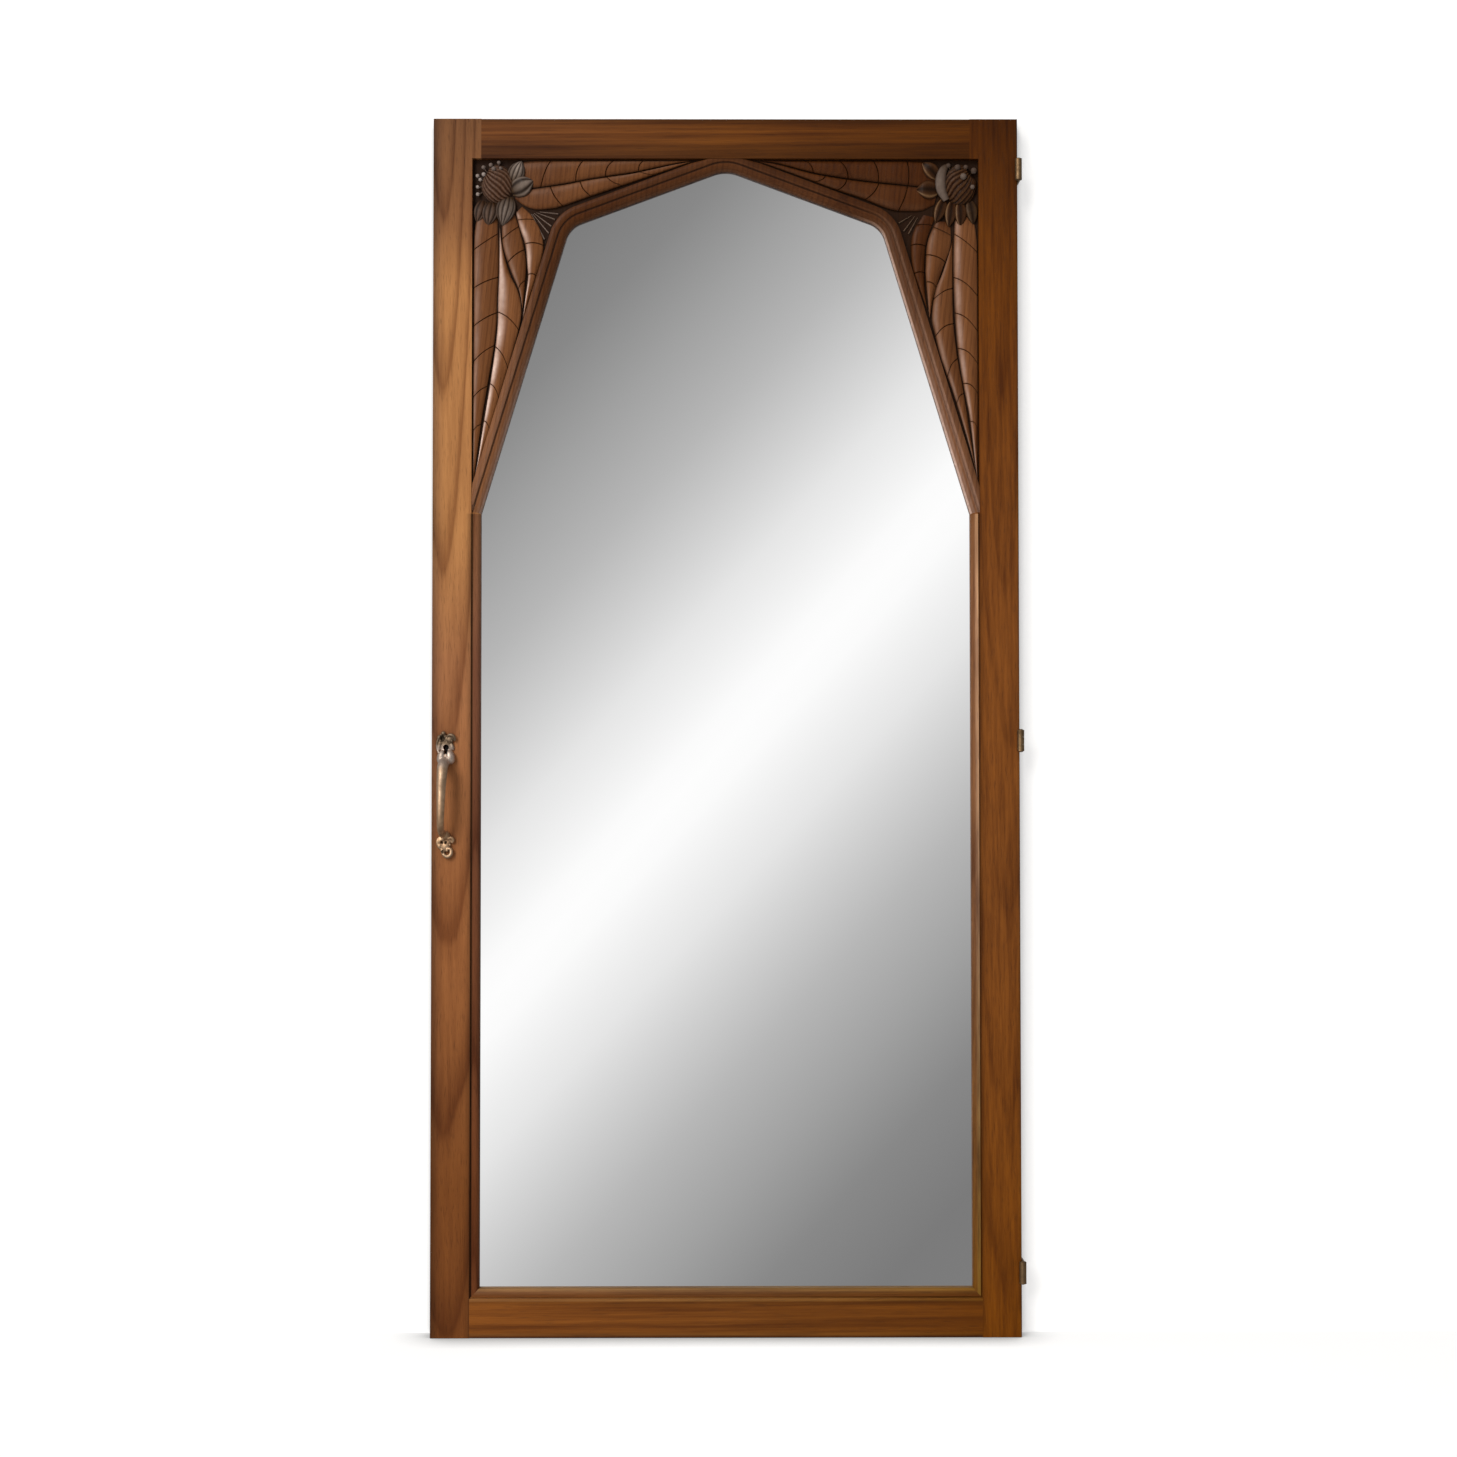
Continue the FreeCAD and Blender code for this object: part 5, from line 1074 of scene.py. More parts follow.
def carved_material(colours):
    """Spandrel wood: painted shade in the cuts and deep places, greyed with dust on the flowers, and painted highlights
    where light falls.
    """

    def edit(tree, spot, colour):
        cut, rub, dust, deep = (
            put(tree, "ShaderNodeAttribute", attribute_name=name).outputs["Fac"] for name in MARKS
        )
        speck = noise(tree, spot, 160.0, detail=4.0)
        greyed = mix(tree, maths(tree, "MULTIPLY", dust, 0.80), colour, DUST_TONE)
        bright = maths(tree, "MULTIPLY", rub, maths(tree, "ADD", maths(tree, "MULTIPLY", speck, 0.6), 0.42))
        paler = mix(tree, bright, greyed, mix(tree, dust, HIGHLIGHT_WOOD, HIGHLIGHT_DUST))
        shaded = mix(tree, deep, paler, mix(tree, 1.0, paler, DEEP_SHADE_TINT, "MULTIPLY"))
        return mix(tree, maths(tree, "MULTIPLY", cut, 0.95), shaded, CUT_SHADE_TONE)

    turn = (math.radians(2.0), math.radians(-6.0), 0.0)
    return wood_material(
        "carved_wood", colours.carved_light, colours.carved_dark, (0.0, 0.05, 0.0), turn,
        ring=0.007, rings=0.35, fibre=0.35, blotch=0.45, rough=0.36, edit=edit,
    )


RAIL_SHADE = 19.0  # beads this near the rail, in its shade, get less painted highlight
SHADED_HIGHLIGHT = 0.35


def mark_beads(mesh, rub, deep):
    """Beads are dusty all over, with painted shade, and a painted highlight where they stand clear of the rail."""
    clear = [RAIL_UNDER - point.co.z / MM > RAIL_SHADE for point in mesh.vertices]
    for label, values in zip(MARKS, (0.0, np.where(clear, rub, rub * SHADED_HIGHLIGHT), 1.0, deep)):
        mark(mesh, label, values)


class CarveSpandrels(bpy.types.Operator):
    """Carves both spandrels: moulding, ground, leaves, flowers, stamens and fans"""

    bl_idname = "mirror_door.carve_spandrels"
    bl_label = "Carve Spandrels"

    def execute(self, context):
        sizes = context.scene.mirror_door_carving
        material = carved_material(context.scene.mirror_door_wood)
        ground = FACE + sizes.field_depth / MM
        for name, side, leaves, flower, tinting in (
            ("left", -1, LEFT_LEAVES, LEFT_FLOWER, LEFT_LIGHT_AND_DIRT),
            ("right", 1, RIGHT_LEAVES, RIGHT_FLOWER, RIGHT_LIGHT_AND_DIRT),
        ):
            deep = flower["deep"]
            carving = Carving()
            # Moulding with its painted light and shade and the grime in its quirk
            moulding(carving, sizes, **tinting)
            ground_board(carving, sizes)
            for shape in leaves.values():
                leaf(carving, sizes, **shape, root=0.3, shine=flower["shine"])
            for shape in flower["petals"]:
                petal(carving, sizes, *shape, deep)
            for shape in flower["sepals"]:
                leaf(carving, sizes, **shape, deep=deep * 0.65, shine=0.4)
            bud(carving, *[flower[part] for part in ("middle", "radii", "aim", "ribs", "cuts")], deep + 0.15)
            beads = stamens(carving, *[flower[part] for part in ("middle", "radii", "beads", "deep")])
            for start, end in flower["fan"]:
                ray(carving, start, end, FAN_RISE, deep * 0.9)
            mesh = carving.mesh(f"{name}_carving", side, ground)
            tidy_normals(mesh)
            mesh.materials.append(material)
            settle(add_object(f"{name}_carving", mesh), "door", "carved_wood", f"{name}_spandrel")
            spots = Carving()
            spots.add(beads, [])
            grains = add_object(f"{name}_stamens", spots.mesh(f"{name}_stamens", side, ground))
            values = {"Radius": sizes.stamen * flower["bead_size"], "Seed": 3 + side, "Material": material}
            grown(grains, bead_tree(), values)
            mark_beads(grains.data, flower["bead_highlight"], deep * 0.6)
            settle(grains, "door", "carved_wood", f"{name}_spandrel")
        return {"FINISHED"}


# Frame, mirror and back

# Painted light and shade on the frame as (share of the way, tone): sun and shade up the stiles and along the rails,
# and shaded and lit edges, quirks and ovolos across each member
SUNLIT = [
    (0.0, (0.40, 0.29, 0.20)), (0.12, (0.42, 0.31, 0.21)), (0.32, (0.74, 0.63, 0.60)), (0.55, (0.81, 0.76, 0.90)),
    (0.66, (1.12, 1.16, 1.18)), (0.86, (1.06, 1.08, 1.1)), (0.91, (0.63, 0.60, 0.66)), (1.0, (0.42, 0.40, 0.46)),
]
SHADY = [
    (0.0, (0.74, 0.70, 0.10)), (0.35, (0.84, 0.88, 0.80)), (0.62, (0.89, 0.92, 0.84)), (0.84, (0.67, 0.63, 0.30)),
    (1.0, (0.30, 0.25, 0.04)),
]
# Head and foot rails: paler with painted sheen at the left end, painted shade towards the right end
HEAD = [(0.0, (0.80, 0.92, 1.35)), (0.5, (0.68, 0.70, 0.52)), (1.0, (0.41, 0.37, 0.06))]
FOOT = [(0.0, (0.97, 1.02, 0.9)), (0.5, (0.90, 0.99, 0.75)), (1.0, (0.49, 0.44, 0.06))]
# Across the left stile: painted shade on its outer edge, and below the knee in the quirk and on the ovolo, lifted
# towards the foot
LEFT_OUTER = [
    (0.0, (0.42, 0.45, 0.58)), (0.06, (0.56, 0.58, 0.66)), (0.17, (0.86, 0.86, 0.90)), (0.27, 1.0), (1.0, 1.0),
]
LEFT_INNER = [
    (0.0, 1.0), (0.68, 1.0), (0.78, 0.72), (0.812, 0.45), (0.815, 0.30), (0.845, 0.30), (0.86, (0.50, 0.46, 0.58)),
    (0.93, (0.60, 0.57, 0.76)), (1.0, (0.50, 0.50, 0.66)),
]
LEFT_FOOT = [(0.0, 1.0), (0.845, 1.0), (0.86, 1.6), (1.0, 1.6)]
# Across the right stile: painted shade on its outer edge; below the knee a painted highlight on the ovolo's crest and
# painted shade in the quirk beside it, the highlight weaker towards the foot
RIGHT_OUTER = [(0.0, 1.0), (0.93, 0.95), (1.0, (0.70, 0.80, 1.0))]
RIGHT_INNER = [
    (0.0, (1.1, 1.5, 3.4)), (0.075, (1.1, 1.5, 3.7)), (0.105, (2.1, 3.6, 11.0)), (0.15, (2.8, 5.0, 15.5)),
    (0.156, 0.55), (0.19, 0.70), (0.24, 0.90), (0.32, 1.0), (1.0, 1.0),
]
RIGHT_FOOT = [(0.0, 0.8), (0.08, 0.8), (0.105, 0.5), (0.15, 0.45), (0.156, 1.0), (1.0, 1.0)]
# Up the rails: painted shade along both edges of the head rail; on the foot rail painted shade at the floor edge with a
# painted highlight line above it, and painted highlights on arris and ovolo with painted shade between them
TOP_EDGES = [
    (0.0, 0.55), (0.05, 0.60), (0.25, 0.62), (0.42, 0.84), (0.66, 1.0), (0.86, 0.85), (0.97, 0.50),
    (1.0, (0.48, 0.60, 0.9)),
]
LOW_EDGES = [
    (0.0, (0.45, 0.45, 0.7)), (0.03, (0.62, 0.62, 0.8)), (0.06, (0.95, 1.1, 1.5)), (0.12, 1.0), (0.64, 1.0),
    (0.69, 0.80), (0.735, 0.74), (0.77, (1.2, 1.6, 2.8)), (0.815, (1.2, 1.5, 2.6)), (0.85, (0.90, 0.90, 1.25)),
    (0.89, (0.75, 0.85, 1.3)), (0.93, (0.90, 1.15, 2.4)), (0.97, (1.5, 2.4, 6.0)), (1.0, (1.2, 2.0, 4.5)),
]


def painted_light_and_tints(*layers):
    """Tints a member along an axis between two places: painted sunlight and shade, painted shade and grime in quirks,
    painted highlights on edges, darker board edges. A layer may end with the height at which its tint is gone and the
    length over which it fades."""

    def edit(tree, spot, colour):
        parts = put(tree, "ShaderNodeSeparateXYZ", {0: spot}).outputs
        for axis, start, end, stops, *limit in layers:
            share = maths(tree, "DIVIDE", maths(tree, "SUBTRACT", parts[axis], start), end - start)
            amount = 1.0
            if limit:
                top, fade = limit
                amount = maths(tree, "DIVIDE", maths(tree, "SUBTRACT", top, parts["Z"]), fade, clamp=True)
            colour = mix(tree, amount, colour, ramp(tree, share, stops), "MULTIPLY")
        return colour

    return edit


class FinishFrame(bpy.types.Operator):
    """Gives stiles, rails and pegs their woods"""

    bl_idname = "mirror_door.finish_frame"
    bl_label = "Finish Frame"

    def execute(self, context):
        colours = context.scene.mirror_door_wood
        left_tones = (colours.left_light, colours.left_dark)
        tones = (colours.frame_light, colours.frame_dark)
        upward = (math.radians(-3.0), math.radians(0.5), 0.0)
        level = (math.radians(1.0), math.radians(90.6), 0.0)
        half, height, sight = -CAD_BOX[0].x, CAD_BOX[1].z, SIGHT * MM
        up, along = ("Z", 0.0, height), ("X", -half, half)
        left, right = ("X", -half, -sight), ("X", sight, half)
        top, bottom = ("Z", RAIL_UNDER * MM, height), ("Z", 0.0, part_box("bottom_rail")[1].z)
        to_knee = (KNEE * MM, 0.001)
        members = (
            (
                "left_stile", left_tones, (0.395, -0.095, -1.1), upward, (0.0135, 0.70, 0.27, 0.34),
                ((*up, SUNLIT), (*left, LEFT_OUTER), (*left, LEFT_INNER, *to_knee), (*left, LEFT_FOOT, 0.55, 0.4)),
            ),
            (
                "right_stile", tones, (-0.41, -0.07, -0.3), upward, (0.0140, 0.26, 0.50, 0.40),
                ((*up, SHADY), (*right, RIGHT_OUTER), (*right, RIGHT_INNER, *to_knee), (*right, RIGHT_FOOT, 1.0, 0.6)),
            ),
            (
                "top_rail", tones, (1.74, -0.05, 0.1), level, (0.0160, 0.28, 0.50, 0.55),
                ((*along, HEAD), (*top, TOP_EDGES)),
            ),
            (
                "bottom_rail", tones, (0.02, -0.05, 0.2), level, (0.0160, 0.24, 0.45, 0.40),
                ((*along, FOOT), (*bottom, LOW_EDGES)),
            ),
        )
        # Each member's layers paint sunlight and shade along it, and shaded and lit edges across it
        for node, shades, pith, turn, grain, layers in members:
            wear(wood_material(f"{node}_wood", *shades, pith, turn, *grain, edit=painted_light_and_tints(*layers)), node)
        inward = (math.radians(90), 0.0, 0.0)
        wear(wood_material("peg_wood", *tones, (0.0, 0.0, 0.0), inward, ring=0.0012, rough=0.5), "tenon_pegs")
        return {"FINISHED"}


class FinishMirror(bpy.types.Operator):
    """Silvers the glass and finishes boards and blocks behind it"""

    bl_idname = "mirror_door.finish_mirror"
    bl_label = "Finish Mirror and Back"

    def execute(self, context):
        colours = context.scene.mirror_door_wood
        tones = (colours.back_light, colours.back_dark)
        material, tree, output = new_material("silvered_glass")
        spot = put(tree, "ShaderNodeTexCoord").outputs["Object"]
        haze = maths(tree, "MULTIPLY", noise(tree, spot, 9.0, detail=4.0), 0.012)
        values = {"Base Color": (0.985, 0.985, 0.985, 1.0), "Roughness": haze, "Metallic": 1.0}
        fill(tree, output, put(tree, "ShaderNodeBsdfPrincipled", values).outputs[0])
        wear(material, "mirror_glass")
        upward = (math.radians(0.9), 0.0, 0.0)
        for name, pith, tone in (
            ("left", (0.25, -0.09, 0.3), 0.90),
            ("middle", (0.02, -0.11, 0.9), 1.02),
            ("right", (-0.33, -0.08, -0.4), 0.82),
        ):
            low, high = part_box(f"back_board_{name}")
            laps = [(0.0, 0.30), (0.006, 0.55), (0.03, tone), (0.97, tone), (0.994, 0.55), (1.0, 0.30)]
            board = wood_material(
                f"back_{name}_wood", *tones, pith, upward, ring=0.009, rings=0.55, fibre=0.35, blotch=0.30, rough=0.62,
                edit=painted_light_and_tints(("X", low.x, high.x, laps)),
            )
            wear(board, f"back_board_{name}")
        block = wood_material("block_wood", *tones, (0.1, 0.1, 0.0), upward, ring=0.004, rough=0.65)
        wear(block, "glass_blocks", "setting_blocks")
        return {"FINISHED"}


# Metal


class FinishHinges(bpy.types.Operator):
    """Gives hinges and bolt aged brass, and the lock dull iron"""

    bl_idname = "mirror_door.finish_hinges"
    bl_label = "Finish Hinges and Lock"

    def execute(self, context):
        metals = context.scene.mirror_door_metal
        brass = metal_material("hinge_brass", metals.brass, metals.brass_tarnish, 90.0, 0.85, 0.40)
        iron = metal_material("lock_iron", metals.iron, metals.iron_rust, 70.0, 0.7, 0.42)
        for place in ("top", "middle", "bottom"):
            wear(brass, f"door_leaf_{place}", f"cabinet_leaf_{place}", f"hinge_pin_{place}")
        wear(brass, "lock_bolt")
        wear(iron, "lock_plate", "lock_case", "bolt_spring")
        return {"FINISHED"}


def islands(node, flat, reach=8.0):
    """The separate solids of a node as boxes in millimetres, told apart by their places on two axes."""
    groups = []
    for vertex in NODES[node].data.vertices:
        spot = np.array(vertex.co) / MM
        for group in groups:
            if np.linalg.norm((spot - group[0])[flat]) < reach:
                group.append(spot)
                break
        else:
            groups.append([spot])
    return [(np.min(group, axis=0), np.max(group, axis=0)) for group in groups]


SHANK_SHARE = SINK_SHARE = 0.5  # of a screw head's radius


class SetScrews(bpy.types.Operator):
    """Sets slotted screws in back boards, hinges and lock"""

    bl_idname = "mirror_door.set_screws"
    bl_label = "Set Screws"

    def execute(self, context):
        metals = context.scene.mirror_door_metal
        steel = metal_material("screw_steel", metals.iron, metals.iron_rust, 200.0, 0.55, 0.35)
        outward = Euler((math.radians(-90), 0.0, 0.0))
        sideways = Euler((0.0, math.radians(90), 0.0))
        for node, flat, head_axis, turn, seed in (
            ("back_screws", [0, 2], 1, outward, 4),
            ("lock_screws", [0, 2], 1, outward, 7),
            ("hinge_screws", [1, 2], 0, sideways, 9),
        ):
            boxes = islands(node, flat)
            spots = []
            for low, high in boxes:
                spot = (low + high) / 2
                spot[head_axis] = high[head_axis]
                spots.append(Vector(spot) * MM)
            size = (boxes[0][1] - boxes[0][0]) * MM
            head = size[flat[0]] / 2
            mesh = bpy.data.meshes.new(node + "_slotted")
            mesh.from_pydata(spots, [], [])
            piece = add_object(node + "_slotted", mesh)
            values = {
                "Head radius": head, "Shank radius": head * SHANK_SHARE, "Sink": head * SINK_SHARE,
                "Length": size[head_axis], "Turn": turn, "Seed": seed, "Material": steel,
            }
            grown(piece, screw_tree(), values)
            settle(piece, "door", "screw_steel", node)
        return {"FINISHED"}


# Cast pull. A point is (across from the keyhole's line, out of the face, up from the keyhole) in millimetres.

PULL_X = (PULL_LOW.x + PULL_HIGH.x) / 2
KEY_Z = 841.0
CAST_GRAIN = 0.62  # size of the casting's finest forms
KEYHOLE_RADIUS = 4.2
KEYHOLE_SLOT = [(2.65, -9.4), (-2.65, -9.4)]
BOW_LINE = [
    (-1.0, 5.0, -20.0), (-1.4, 13.0, -22.0), (-1.7, 22.0, -25.5), (-1.9, 28.0, -31.0), (-2.2, 30.4, -40.0),
    (-2.8, 31.6, -54.0), (-3.3, 32.4, -72.0), (-3.7, 32.6, -92.0), (-4.3, 29.8, -106.0), (-4.8, 23.0, -114.5),
    (-4.9, 14.0, -120.0), (-4.6, 5.0, -124.0),
]
BOW_THICKNESS = [7.2, 7.5, 7.7, 7.7, 7.4, 6.8, 6.1, 5.5, 5.1, 5.0, 5.1, 5.3]
# Cast lobes: middle, radii across, out and up, and turn in the face
PULL_LOBES = [
    ((0.0, 0.5, 3.0), (9.5, 3.6, 12.0), 0),
    ((-4.6, 1.6, 13.0), (6.2, 3.6, 8.0), 10),
    ((-3.6, 3.4, 20.2), (3.2, 3.0, 3.2), 0),
    ((-9.5, 3.0, 14.5), (3.0, 2.6, 3.6), 30),
    ((5.6, 2.6, 11.0), (5.2, 3.6, 5.4), -42),
    ((-9.2, 1.6, 3.0), (3.2, 2.8, 9.0), 14),
    ((8.6, 1.6, 1.5), (3.0, 2.8, 6.0), -14),
    ((-6.2, 4.6, -14.2), (6.4, 8.6, 10.4), 12),
    ((6.4, 4.6, -13.8), (6.6, 8.8, 10.2), -12),
    ((0.0, 3.4, -18.5), (7.5, 8.4, 7.5), 0),
    ((0.0, 1.5, -126.0), (6.2, 6.0, 6.5), 0),
    ((-6.6, 1.5, -132.5), (5.6, 4.4, 7.4), 22),
    ((-8.4, 1.8, -141.0), (3.8, 3.6, 4.4), 0),
    ((5.4, 1.2, -132.0), (4.8, 3.8, 6.0), -34),
    ((-0.5, 1.8, -141.5), (7.0, 4.6, 8.5), 0),
]
# Curls and leaf edges: points and thickness
PULL_CURLS = [
    ([(2, 4, 15.5), (6, 5.5, 18), (10.5, 5.5, 16.5), (13, 4.5, 12.5), (12.6, 3.4, 9.0)], [1.8, 2.4, 2.3, 1.7, 1.0]),
    ([(-7, 3, 17), (-11, 2.8, 12.5), (-12.8, 2.6, 5), (-11.8, 2.6, -4), (-8.5, 3, -11)], [1.2, 1.6, 1.7, 1.5, 1.1]),
    ([(3, 4.5, -131), (8, 5, -129), (11, 4.4, -132.5), (9, 3.8, -137)], [1.9, 2.3, 2.0, 1.3]),
    (
        [
            (-6, 3.6, -147), (-2, 4.4, -154), (3.5, 4.6, -156.5), (8.0, 4.6, -152), (7.4, 4.4, -146),
            (3.0, 4.4, -144.5), (2.0, 4.6, -149),
        ],
        [1.8, 2.6, 3.0, 3.0, 2.6, 2.2, 2.0],
    ),
    ([(-9, 3, -128), (-12, 3, -134), (-10.5, 3.2, -141), (-6, 3.4, -146)], [1.3, 1.7, 1.7, 1.2]),
]
# Dents: middle across and up, and reach across, in and up
PULL_HOLLOWS = [
    ((-4.9, 12.8), (3.0, 5.0, 4.6)),
    ((-5.6, -136.0), (1.9, 3.0, 2.1)),
    ((0.4, -136.2), (1.8, 3.0, 2.0)),
    ((-4.6, -149.5), (1.9, 3.0, 2.1)),
]
# Tones up the pull: the flower is darkest, the calyx greyest and the bow, which hands touch, most golden
PULL_TONES = [
    (0.0, (1.0, 0.98, 0.92)), (0.20, (1.16, 1.03, 0.86)), (0.70, (1.10, 1.08, 1.05)), (0.76, (1.3, 1.5, 1.85)),
    (0.86, (1.3, 1.5, 1.85)), (0.90, (0.50, 0.50, 0.48)), (1.0, (0.62, 0.62, 0.60)),
]


GRIME_TONE = (0.012, 0.009, 0.006)


def on_pull(point):
    return Vector((PULL_X + point[0], FACE - point[1], KEY_Z + point[2])) * MM


def pull_bars(material):
    """The bow, the curls and the leaf edges as round bars."""
    bars = []
    for count, (points, thickness) in enumerate([(BOW_LINE, BOW_THICKNESS), *PULL_CURLS]):
        line = [(out, up, across, width) for (across, out, up), width in zip(points, thickness)]
        smooth, _ = spline(line, 26 if count else 48)
        spots = [on_pull((across, out, up)) / MM for out, up, across, _ in smooth]
        bar = line_object(f"pull_line_{count}", spots, smooth[:, 3])
        bars.append(grown(bar, bar_tree(), {"Sides": 20, "Material": material}))
    return bars


def add_lobe(work, middle, radii, turn):
    """A ball stretched to three radii and turned in the face."""
    place = Matrix.Translation(on_pull(middle)) @ Matrix.Rotation(math.radians(turn), 4, "Y")
    stretch = Matrix.Diagonal((*[radius * MM for radius in radii], 1.0))
    bmesh.ops.create_uvsphere(work, u_segments=28, v_segments=18, radius=1.0, matrix=place @ stretch)


def add_keyhole(work):
    """A keyhole's outline drawn through the whole casting."""
    angles = np.linspace(-2.4, 2.4, 33)
    outline = [(KEYHOLE_RADIUS * math.sin(a), KEYHOLE_RADIUS * math.cos(a)) for a in angles] + KEYHOLE_SLOT
    back, front = ([work.verts.new(on_pull((x, out, up))) for x, up in outline] for out in (-6.0, 40.0))
    work.faces.new(back)
    work.faces.new(front[::-1])
    for i in range(len(outline)):
        j = (i + 1) % len(outline)
        work.faces.new((back[i], front[i], front[j], back[j]))
    bmesh.ops.recalc_face_normals(work, faces=work.faces)


def shape_object(name, build):
    work = bmesh.new()
    build(work)
    mesh = bpy.data.meshes.new(name)
    work.to_mesh(mesh)
    work.free()
    return add_object(name, mesh)


def modified(piece, kind, **settings):
    modifier = piece.modifiers.new(kind.title(), kind)
    for name, value in settings.items():
        setattr(modifier, name, value)


def press(mesh):
    """Presses the dents into the casting and its back flat against the door's face."""
    points = np.empty(len(mesh.vertices) * 3)
    mesh.vertices.foreach_get("co", points)
    points = points.reshape(-1, 3) / MM
    out = FACE - points[:, 1]
    grime = np.zeros(len(points))
    for (across, up), (wide, deep, tall) in PULL_HOLLOWS:
        aside = (points[:, 0] - PULL_X - across) / wide
        above = (points[:, 2] - KEY_Z - up) / tall
        near = np.exp(-((aside**2 + above**2) ** 2))
        out = out - near * np.minimum(deep, np.maximum(out - 1.0, 0.0))
        grime = np.maximum(grime, near)
    points[:, 1] = FACE - np.maximum(out, 0.02)
    mesh.vertices.foreach_set("co", (points * MM).ravel())
    mark(mesh, "grime", grime)
    mesh.update()


class CastPull(bpy.types.Operator):
    """Casts the pull: keyhole flower, calyx, bow and lower leaf, with its pins"""

    bl_idname = "mirror_door.cast_pull"
    bl_label = "Cast Pull"

    def execute(self, context):
        metals = context.scene.mirror_door_metal

        def tinting(tree, spot, colour):
            up = put(tree, "ShaderNodeSeparateXYZ", {0: spot}).outputs["Z"]
            low, tall = PULL_LOW.z * MM, (PULL_HIGH.z - PULL_LOW.z) * MM
            share = maths(tree, "DIVIDE", maths(tree, "SUBTRACT", up, low), tall)
            toned = mix(tree, 1.0, colour, ramp(tree, share, PULL_TONES), "MULTIPLY")
            grime = put(tree, "ShaderNodeAttribute", attribute_name="grime").outputs["Fac"]
            return mix(tree, maths(tree, "MULTIPLY", grime, 0.9), toned, GRIME_TONE)

        bronze = metal_material("pull_bronze", metals.bronze, metals.bronze_tarnish, 60.0, 0.70, 0.50, edit=tinting)
        bars = pull_bars(bronze)

        def model(work):
            for middle, radii, turn in PULL_LOBES:
                add_lobe(work, middle, radii, turn)
            for bar in bars:
                work.from_mesh(bar.data)

        pull = shape_object("pull_casting", model)
        for bar in bars:
            bpy.data.objects.remove(bar)
        modified(pull, "REMESH", mode="VOXEL", voxel_size=CAST_GRAIN * MM)
        modified(pull, "SMOOTH", factor=0.5, iterations=3)
        bpy.context.view_layer.update()
        press(baked(pull).data)
        cutter = shape_object("pull_keyhole", add_keyhole)
        modified(pull, "BOOLEAN", object=cutter, operation="DIFFERENCE", solver="EXACT")
        bpy.context.view_layer.update()
        baked(pull)
        bpy.data.objects.remove(cutter)
        tidy_normals(pull.data, 50.0)
        pull.data.materials.clear()
        pull.data.materials.append(bronze)
        settle(pull, "door", "pull_bronze", "pull_handle")
        wear(bronze, "handle_pins")
        return {"FINISHED"}


# Stage


STAGE_GLOW, STAGE_SHADE, BOARD_WHITE = 0.60, 0.42, 0.8
FLOOR_CONTACT, WALL_CONTACT = 0.06, 0.012
STAGE_HALF = 6.0
KEY_AIM = (0.42, 0.72, -0.55)
WINDOW_PLACE, WINDOW_TARGET = Vector((-1.9, -2.6, 1.55)), Vector((-0.3, 0.0, 1.15))


def white_ground(name, contact):
    """White under the camera with a soft shadow kept, darker within contact of the door; a plain white board for all
    other light, and clear from behind."""
    material, tree, output = new_material(name)
    values = {"Color": (1.0, 1.0, 1.0, 1.0), "Distance": contact}
    white = put(tree, "ShaderNodeAmbientOcclusion", values, samples=16).outputs["Color"]
    grey = mix(tree, 1.0, white, (STAGE_SHADE,) * 3, "MULTIPLY")
    glow = put(tree, "ShaderNodeEmission", {"Color": white, "Strength": STAGE_GLOW}).outputs[0]
    kept = put(tree, "ShaderNodeBsdfDiffuse", {"Color": grey}).outputs[0]
    seen = put(tree, "ShaderNodeAddShader", {0: glow, 1: kept}).outputs[0]
    plain = put(tree, "ShaderNodeBsdfDiffuse", {"Color": (*(BOARD_WHITE,) * 3, 1.0)}).outputs[0]
    front = either(tree, put(tree, "ShaderNodeLightPath").outputs["Is Camera Ray"], plain, seen)
    clear = put(tree, "ShaderNodeBsdfTransparent").outputs[0]
    fill(tree, output, either(tree, put(tree, "ShaderNodeNewGeometry").outputs["Backfacing"], front, clear))
    return material


def stage_sheet(name, corners, material):
    mesh = bpy.data.meshes.new(name)
    mesh.from_pydata(corners, [], [(0, 1, 2, 3)])
    mesh.materials.append(material)
    sheet = add_object(name, mesh)
    sheet.visible_glossy = False
    sheet.visible_shadow = False
    return sheet


# The white band that the mirror shows: its slant across and up, its shift, and the greys beside it
BAND_ACROSS, BAND_UP, BAND_SHIFT = 3.2, 2.96, 0.042
SKY_GREYS = [
    (0.0, 1.0), (0.05, 0.98), (0.18, 0.80), (0.324, 0.48), (0.394, 0.36), (0.45, 0.25), (0.50, 0.20), (0.58, 0.21),
    (0.72, 0.40), (0.86, 0.26), (1.0, 0.36),
]


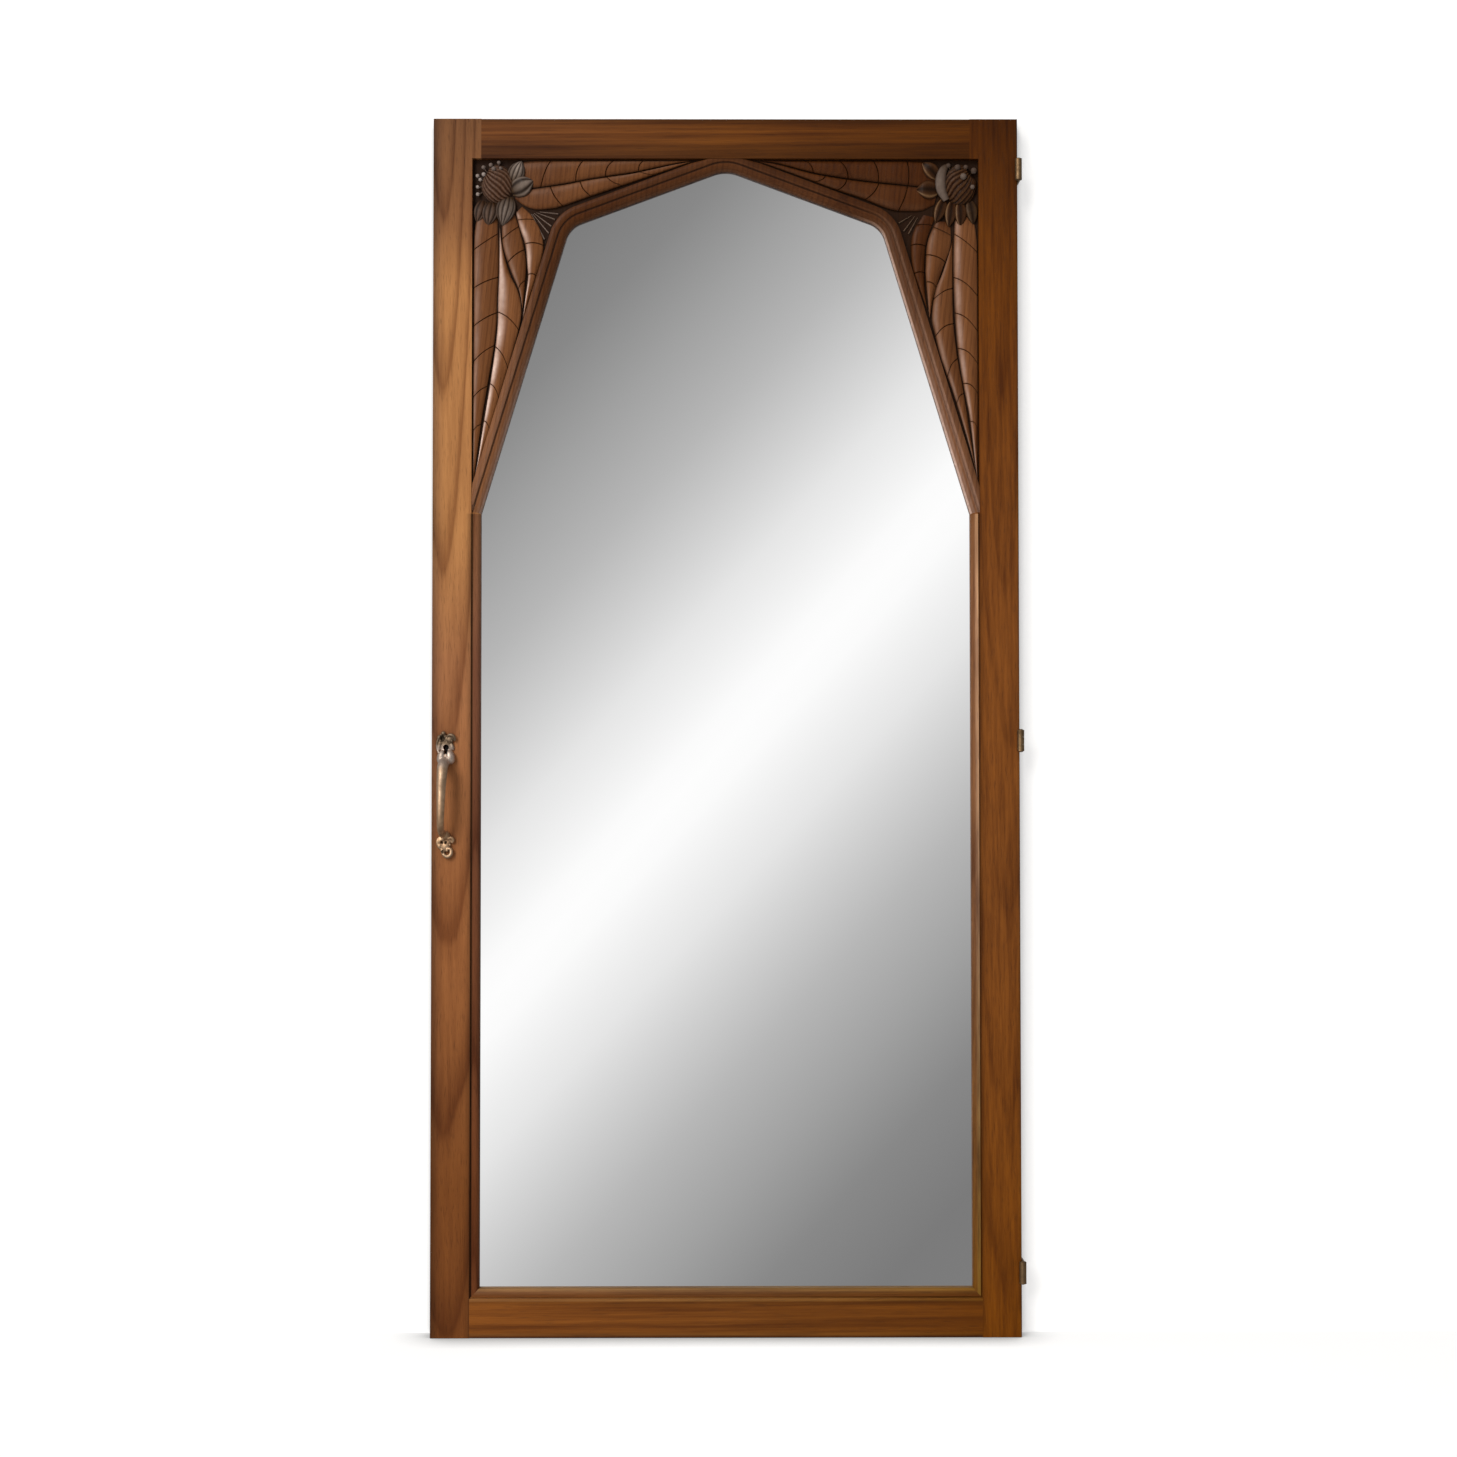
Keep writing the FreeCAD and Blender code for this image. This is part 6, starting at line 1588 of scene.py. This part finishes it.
def studio_sky(strength):
    """White for the camera, a diagonal white band between greys for the mirror, and even light for the rest."""
    world = bpy.data.worlds.new("studio_sky")
    bpy.context.scene.world = world
    world.use_nodes = True
    tree = world.node_tree
    tree.nodes.clear()
    way = put(tree, "ShaderNodeSeparateXYZ", {0: put(tree, "ShaderNodeTexCoord").outputs["Generated"]}).outputs
    depth = maths(tree, "MAXIMUM", maths(tree, "ABSOLUTE", way["Y"]), 0.02)
    across = maths(tree, "DIVIDE", way["X"], depth)
    up = maths(tree, "DIVIDE", way["Z"], depth)
    slant = maths(tree, "MULTIPLY", across, BAND_ACROSS)
    slant = maths(tree, "SUBTRACT", slant, maths(tree, "MULTIPLY", up, BAND_UP))
    slant = maths(tree, "ABSOLUTE", maths(tree, "ADD", slant, BAND_SHIFT))
    slant = maths(tree, "DIVIDE", slant, maths(tree, "ADD", slant, 1.0))
    even, mirrored, white = (
        put(tree, "ShaderNodeBackground", {"Color": colour, "Strength": power}).outputs[0]
        for colour, power in (
            ((1.0, 0.985, 0.96, 1.0), strength),
            (ramp(tree, slant, SKY_GREYS), 1.0),
            ((1.0, 1.0, 1.0, 1.0), 1.0),
        )
    )
    path = put(tree, "ShaderNodeLightPath").outputs
    shown = maths(tree, "MAXIMUM", path["Is Camera Ray"], path["Is Transmission Ray"])
    sky = either(tree, shown, either(tree, path["Is Glossy Ray"], even, mirrored), white)
    fill(tree, tree.nodes.new("ShaderNodeOutputWorld").inputs["Surface"], sky)


def add_lamp(name, kind, place, aim, **settings):
    """A lamp at a place that shines along aim."""
    light = bpy.data.lights.new(name, kind)
    for label, value in settings.items():
        setattr(light, label, value)
    lamp = add_object(name, light)
    lamp.location = place
    lamp.rotation_mode = "QUATERNION"
    lamp.rotation_quaternion = Vector(aim).to_track_quat("-Z", "Y")


class SetStage(bpy.types.Operator):
    """Sets floor, wall, sky, lamps and camera"""

    bl_idname = "mirror_door.set_stage"
    bl_label = "Set Stage"

    def execute(self, context):
        settings = context.scene.mirror_door_stage
        low, behind, wide = CAD_BOX[0].z - 0.0005, CAD_BOX[1].y + 0.002, STAGE_HALF
        floor = [(-wide, -wide, low), (wide, -wide, low), (wide, wide, low), (-wide, wide, low)]
        wall = [(-wide, behind, low), (wide, behind, low), (wide, behind, wide), (-wide, behind, wide)]
        stage_sheet("floor", floor, white_ground("white_floor", FLOOR_CONTACT))
        stage_sheet("wall", wall, white_ground("white_wall", WALL_CONTACT)).visible_diffuse = False
        studio_sky(settings.sky)
        add_lamp(
            "key_light", "SUN", (0.0, 0.0, 0.0), KEY_AIM,
            energy=settings.key, angle=math.radians(24.0), color=(1.0, 0.97, 0.93),
        )
        add_lamp(
            "window_light", "AREA", WINDOW_PLACE, WINDOW_TARGET - WINDOW_PLACE,
            energy=settings.window, shape="RECTANGLE", size=1.0, size_y=1.4, color=(1.0, 0.98, 0.95),
        )
        eye = bpy.data.cameras.new("photo_camera")
        eye.lens = settings.lens
        eye.sensor_width = 36.0
        camera = add_object("photo_camera", eye)
        camera.location = settings.camera_place
        camera.rotation_euler = settings.camera_turn
        context.scene.camera = camera
        context.scene.view_settings.view_transform = "Standard"
        return {"FINISHED"}


class MirrorDoorPanel(bpy.types.Panel):
    """Lists the steps that dress the door"""

    bl_idname = "VIEW3D_PT_mirror_door"
    bl_label = "Mirror Door"
    bl_space_type = "VIEW_3D"
    bl_region_type = "UI"
    bl_category = "Mirror Door"

    def draw(self, context):
        for step in STEPS:
            self.layout.operator(step.bl_idname)
        for name in SETTINGS:
            group = getattr(context.scene, name)
            box = self.layout.box()
            for label in group.__annotations__:
                box.prop(group, label)


STEPS = (FinishFrame, CarveSpandrels, FinishMirror, FinishHinges, SetScrews, CastPull, SetStage)
SETTINGS = {
    "mirror_door_carving": CarvingSizes,
    "mirror_door_wood": WoodColours,
    "mirror_door_metal": MetalColours,
    "mirror_door_stage": StageSettings,
}


def register():
    for item in (*SETTINGS.values(), *STEPS, MirrorDoorPanel):
        bpy.utils.register_class(item)
    for name, group in SETTINGS.items():
        setattr(bpy.types.Scene, name, PointerProperty(type=group))


def unregister():
    for name in SETTINGS:
        delattr(bpy.types.Scene, name)
    for item in (MirrorDoorPanel, *reversed(STEPS), *reversed(list(SETTINGS.values()))):
        bpy.utils.unregister_class(item)


def main():
    kept = {*NODES.values(), *frame["bodies"].values()}
    for item in list(bpy.data.objects):
        if item not in kept:
            bpy.data.objects.remove(item)
    register()
    for step in STEPS:
        area, name = step.bl_idname.split(".")
        getattr(getattr(bpy.ops, area), name)()


if __name__ == "__main__":
    main()
